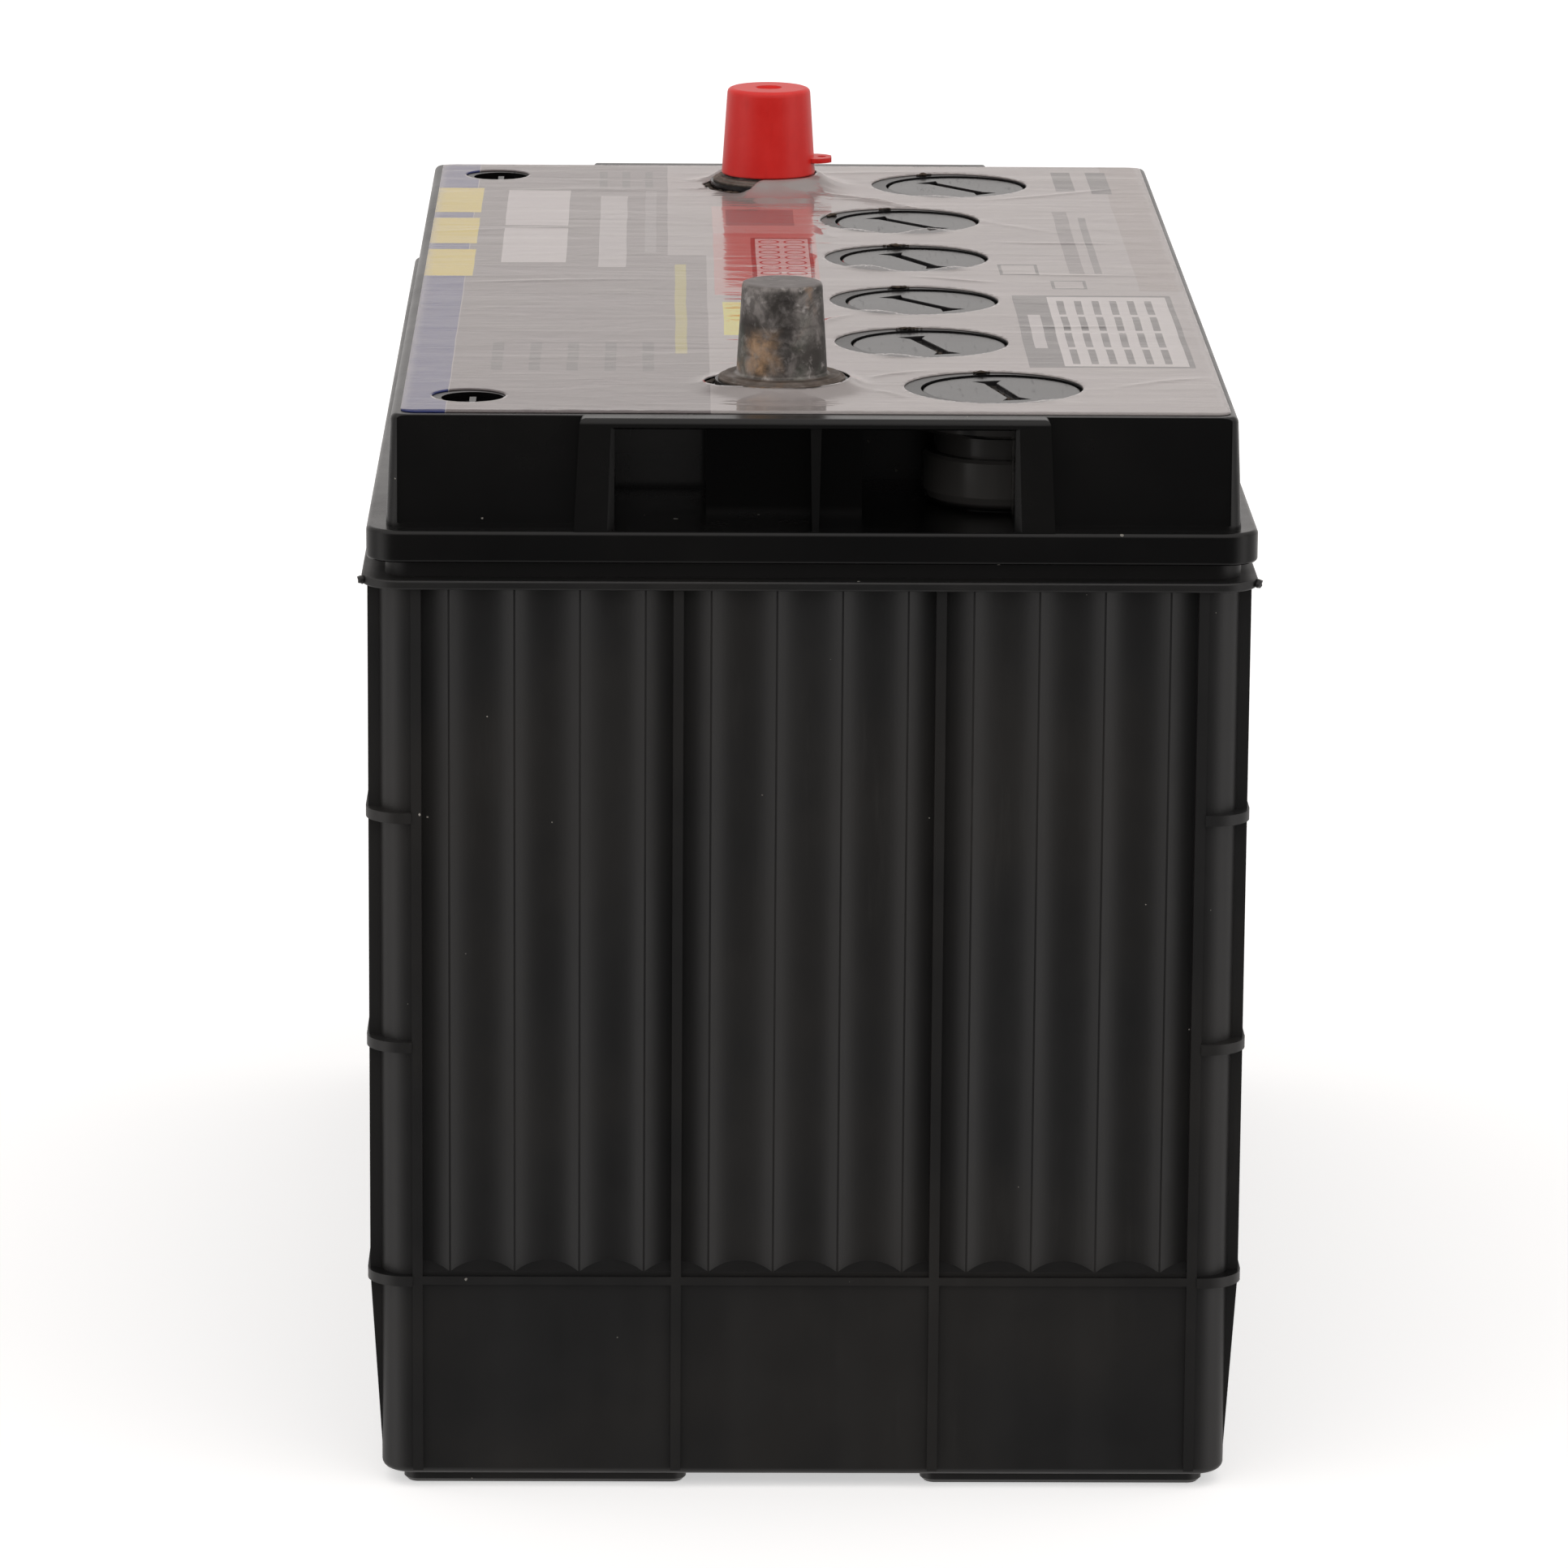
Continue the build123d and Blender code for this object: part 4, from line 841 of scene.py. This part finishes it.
def film_height(x, y):
    h = 0.034 * (noise.noise(Vector((x * 26.0, y * 44.0, 1.7))) + 0.5)
    h += 0.010 * (noise.noise(Vector((x * 110.0, y * 150.0, 4.2))) + 0.5)
    for a, b, amp, w in CREASES:
        d, fade = seg_dist(x, y, a, b)
        u = d / (w * MM)
        if u < 3.0:
            h += amp * fade * math.exp(-u * u)
    for i, ang, reach, amp in LIPS:
        hx, hy, hr = HOLES[i]
        cx, cy = hx + hr * math.cos(math.radians(ang)), hy + hr * math.sin(math.radians(ang))
        d = math.hypot(x - cx, y - cy) / (reach * MM)
        if d < 1.0:
            edge = max(0.0, 1.0 - abs(math.hypot(x - hx, y - hy) - hr) / 0.005)
            h += amp * (math.cos(math.pi * d) * 0.5 + 0.5) * edge * edge
    # the sheet is stuck down at its border
    b = min(x - LLO.x, LHI.x - x, y - LLO.y, LHI.y - y) / 0.004
    return max(0.0, h) * max(0.0, min(1.0, b))


def sheet_mesh():
    """Flat triangulation shared by sheet and film, finer round holes and creases."""
    step = 2.0 * MM
    pts, edges = [], []

    def loop(coords):
        s = len(pts)
        pts.extend(Vector(c) for c in coords)
        n = len(coords)
        edges.extend((s + i, s + (i + 1) % n) for i in range(n))

    x0, x1, y0, y1 = LLO.x + 0.0001, LHI.x - 0.0001, LLO.y + 0.0001, LHI.y - 0.0001
    r = 0.003
    border = []
    for cx, cy, a0 in ((x1 - r, y0 + r, -90), (x1 - r, y1 - r, 0), (x0 + r, y1 - r, 90), (x0 + r, y0 + r, 180)):
        for k in range(7):
            a = math.radians(a0 + 15.0 * k)
            border.append((cx + r * math.cos(a), cy + r * math.sin(a)))
    full = []
    for i, a in enumerate(border):
        b = border[(i + 1) % len(border)]
        ln = math.hypot(b[0] - a[0], b[1] - a[1])
        n = max(1, int(ln / step))
        for k in range(n):
            full.append((a[0] + (b[0] - a[0]) * k / n, a[1] + (b[1] - a[1]) * k / n))
    loop(full)
    rnd = random.Random(7)
    outlines = []
    for hx, hy, hr in HOLES:
        outlines.append((hx, hy, lambda a, q=hr: q + 0.00002, 96 if hr > 0.01 else 48, [0.5, 1.1, 1.8, 2.7, 3.8] if hr > 0.01 else [0.6, 1.5]))
    for k, (px, py) in enumerate(POSTS):
        outlines.append((px, py, lambda a, q=k: post_hole(q, a) * MM, 120, [0.45, 0.9, 1.35, 1.8, 2.4, 3.1, 3.9, 4.9, 6.0]))
    for hx, hy, fn, n, rings in outlines:
        loop([(hx + fn(2 * math.pi * i / n) * math.cos(2 * math.pi * i / n), hy + fn(2 * math.pi * i / n) * math.sin(2 * math.pi * i / n)) for i in range(n)])
        for j, d in enumerate(rings):
            m = max(24, int(n * (0.9 - 0.04 * j)))
            for i in range(m):
                a = 2 * math.pi * (i + 0.5 * (j % 2)) / m
                rr = fn(a) + d * MM
                x, y = hx + rr * math.cos(a), hy + rr * math.sin(a)
                if min(x - x0, x1 - x, y - y0, y1 - y) > 0.0006:
                    pts.append(Vector((x, y)))

    def near_hole(x, y, m):
        for hx, hy, fn, n, rings in outlines:
            d = math.hypot(x - hx, y - hy)
            if d < 0.024 and d < fn(math.atan2(y - hy, x - hx)) + m + rings[-1] * MM:
                return True
        return False

    for a, b, amp, w in CREASES:
        ln = math.hypot(b[0] - a[0], b[1] - a[1])
        n = int(ln / 0.9)
        for i in range(n + 1):
            t = i / n
            for o in (-2.2, -1.3, -0.6, 0.0, 0.6, 1.3, 2.2):
                x = (a[0] + (b[0] - a[0]) * t - (b[1] - a[1]) / ln * (o * w + 1.6 * math.sin(3.1 * t + a[0] * 0.09))) * MM
                y = (a[1] + (b[1] - a[1]) * t + (b[0] - a[0]) / ln * (o * w + 1.6 * math.sin(3.1 * t + a[0] * 0.09))) * MM
                if x0 + 0.001 < x < x1 - 0.001 and y0 + 0.001 < y < y1 - 0.001 and not near_hole(x, y, 0.0002):
                    pts.append(Vector((x, y)))
    nx, ny = int((x1 - x0) / step), int((y1 - y0) / step)
    for i in range(1, nx):
        for j in range(1, ny):
            x = x0 + (x1 - x0) * i / nx + (rnd.random() - 0.5) * step * 0.3
            y = y0 + (y1 - y0) * j / ny + (rnd.random() - 0.5) * step * 0.3
            if near_hole(x, y, step * 0.4) or min(x - x0, x1 - x, y - y0, y1 - y) < step * 0.5:
                continue
            pts.append(Vector((x, y)))
    vs, es, fs = delaunay_2d_cdt(pts, edges, [], 1, 1e-7)[:3]
    keep = []
    for f in fs:
        c = sum((vs[i] for i in f), Vector((0, 0))) / len(f)
        if any(math.hypot(c.x - hx, c.y - hy) < fn(math.atan2(c.y - hy, c.x - hx)) - 0.00003 for hx, hy, fn, n, rings in outlines):
            continue
        if x0 < c.x < x1 and y0 < c.y < y1:
            keep.append(tuple(f))
    return [(v.x, v.y) for v in vs], keep


SHEET = sheet_mesh()


def make_sheet(name, z0, thick, extra, mat, old):
    vs, fs = SHEET
    bm = bmesh.new()
    bv = [bm.verts.new((x, y, z0 + (tent(x, y) + extra(x, y)) * MM)) for x, y in vs]
    for f in fs:
        bm.faces.new([bv[i] for i in f])
    bmesh.ops.delete(bm, geom=[v for v in bm.verts if not v.link_faces], context="VERTS")
    bmesh.ops.recalc_face_normals(bm, faces=bm.faces[:])
    if sum(f.normal.z for f in bm.faces) < 0:
        bmesh.ops.reverse_faces(bm, faces=bm.faces[:])
    geom = bmesh.ops.extrude_face_region(bm, geom=bm.faces[:])
    for v in [e for e in geom["geom"] if isinstance(e, bmesh.types.BMVert)]:
        v.co.z += thick
    bmesh.ops.recalc_face_normals(bm, faces=bm.faces[:])
    o = link(name, bm, mat, "battery")
    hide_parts(old)
    return o


make_sheet("label_sheet", COVER_TOP, TOP - COVER_TOP, lambda x, y: 0.0, M["label"], "top_label")
make_sheet("film_wrinkled", TOP + 0.00003, 0.00009, film_height, M["film"], "label_film")


# ---------------------------------------------------------------- small traces of use
def blob(bm, c, size, seed, sub=2):
    """A lumpy grain added to bm: centre and half sizes in metres."""
    ret = bmesh.ops.create_icosphere(bm, subdivisions=sub, radius=1.0)
    for v in ret["verts"]:
        n = 1.0 + 0.45 * noise.noise(v.co * 1.7 + Vector((seed * 3.1, seed, 0.0)))
        v.co = Vector((c[0] + v.co.x * size[0] * n, c[1] + v.co.y * size[1] * n, c[2] + v.co.z * size[2] * n))


def make_residue():
    """Torn paper and grime at the far edges of the cut holes, lying on the cover between hole edge and vent well."""
    rnd = random.Random(3)
    bm = bmesh.new()
    spots = [(1, 97, 2.6), (2, 100, 2.2), (3, 96, 2.6), (4, 152, 1.8), (5, 108, 1.6), (4, 100, 1.2), (0, 96, 1.4)]
    for i, ang, w in spots:
        hx, hy, hr = HOLES[i]
        a0 = math.radians(ang)
        for k in range(7):
            a = a0 + (k - 3) * w * 0.00034 / hr + (rnd.random() - 0.5) * 0.01
            rr = hr - 0.0004 - 0.0007 * rnd.random()
            s = (0.0005 + 0.0004 * rnd.random()) * (1.0 - abs(k - 3) * 0.18)
            blob(bm, (hx + rr * math.cos(a), hy + rr * math.sin(a), COVER_TOP + 0.00012 + s * 0.2), (s, s * 0.7, s * 0.42), k + i * 10)
    for k in range(9):
        a = math.radians(176 + 5.0 * (k - 4))
        s = 0.0005 + 0.0005 * rnd.random()
        blob(bm, (NEG.x + 0.0147 * math.cos(a), NEG.y + 0.0147 * math.sin(a), COVER_TOP + s * 0.3), (s, s, s * 0.5), 200 + k)
    for k in range(12):
        a = math.radians(160 + 7.0 * k)
        s = 0.0005 + 0.0005 * rnd.random()
        blob(bm, (POS.x + 0.0138 * math.cos(a), POS.y + 0.0138 * math.sin(a), COVER_TOP + s * 0.3), (s, s, s * 0.5), 300 + k)
    link("label_hole_residue", bm, M["residue"], "battery")


make_residue()


def make_slot_debris():
    rnd = random.Random(11)
    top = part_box("vent_cap_1")[1].z
    for i, v in enumerate(VENT):
        ang = math.radians(90.0 + SLOT[i])
        bm = bmesh.new()
        for k in range(12):
            t = (rnd.random() * 2 - 1) * 0.0072
            u = (rnd.random() * 2 - 1) * 0.0005
            s = 0.00022 + 0.00030 * rnd.random()
            x = v.x + t * math.cos(ang) - u * math.sin(ang)
            y = v.y + t * math.sin(ang) + u * math.cos(ang)
            blob(bm, (x, y, top - 0.0011 + s * 0.5), (s, s, s * 0.8), i * 20 + k, 1)
        link("slot_debris_%d" % (i + 1), bm, M["residue"], "vent_plug_%d" % (i + 1))


def make_flash():
    """Uneven bead of plastic squeezed out where the cover is heat-sealed to the jar, along the long sides."""
    lo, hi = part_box("case")
    z = RIM_Z
    rnd = random.Random(5)
    for name, side in (("seal_flash_right", 1), ("seal_flash_left", -1)):
        x0 = hi.x if side > 0 else lo.x
        bm = bmesh.new()
        n, m = 260, 8
        ya, yb = -0.1590, 0.1590
        rings = []
        for i in range(n + 1):
            t = i / n
            y = ya + (yb - ya) * t
            w = 0.45 + 0.55 * noise.noise(Vector((y * 60.0, side * 3.0, 0.0))) + 0.35 * noise.noise(Vector((y * 260.0, side * 7.0, 1.0)))
            r = MM * max(0.10, 0.42 * w) * min(1.0, 0.25 + 12.0 * min(t, 1.0 - t))
            zc = z + MM * 0.45 * noise.noise(Vector((y * 40.0, side * 5.0, 2.0)))
            ring = []
            for k in range(m):
                a = 2 * math.pi * k / m
                ring.append(bm.verts.new((x0 - side * 0.00025 + side * 1.15 * r * math.cos(a), y, zc + r * math.sin(a))))
            rings.append(ring)
        for a, b in zip(rings, rings[1:]):
            for k in range(m):
                bm.faces.new((a[k], a[(k + 1) % m], b[(k + 1) % m], b[k]))
        bm.faces.new(rings[0][::-1])
        bm.faces.new(rings[-1])
        # nibs at the corners
        for sy in (-1, 1):
            blob(bm, (x0 - side * 0.0002, sy * 0.1598, z), (0.0010, 0.0016, 0.0009), 40 + side + sy)
        bmesh.ops.recalc_face_normals(bm, faces=bm.faces[:])
        link(name, bm, M["flash"], "battery")


RIM_Z = 0.1841
SLOT = (14.0, 18.0, 37.0, 27.0, 40.0, 38.0)
make_slot_debris()
make_flash()


# ---------------------------------------------------------------- camera
def add_camera():
    f, th, ps, ro = 9961.0, 0.228285, 0.0160501, 0.00724761
    cx, cy, cz = -0.03029, -1.70343, 0.50219
    cyw, syw = math.cos(ps), math.sin(ps)
    fwd, right, up = Vector((syw, cyw, 0)), Vector((cyw, -syw, 0)), Vector((0, 0, 1))
    c, s = math.cos(th), math.sin(th)
    f2, u2 = fwd * c - up * s, up * c + fwd * s
    cr, sr = math.cos(ro), math.sin(ro)
    r3, u3 = right * cr + u2 * sr, u2 * cr - right * sr
    data = bpy.data.cameras.new("camera")
    data.sensor_width = 36.0
    data.lens = f / 1932.0 * 36.0
    data.clip_start, data.clip_end = 0.05, 60.0
    cam = bpy.data.objects.new("camera", data)
    scene.collection.objects.link(cam)
    b = -f2
    cam.matrix_world = Matrix(((r3.x, u3.x, b.x, cx), (r3.y, u3.y, b.y, cy), (r3.z, u3.z, b.z, cz), (0, 0, 0, 1)))
    scene.camera = cam


add_camera()
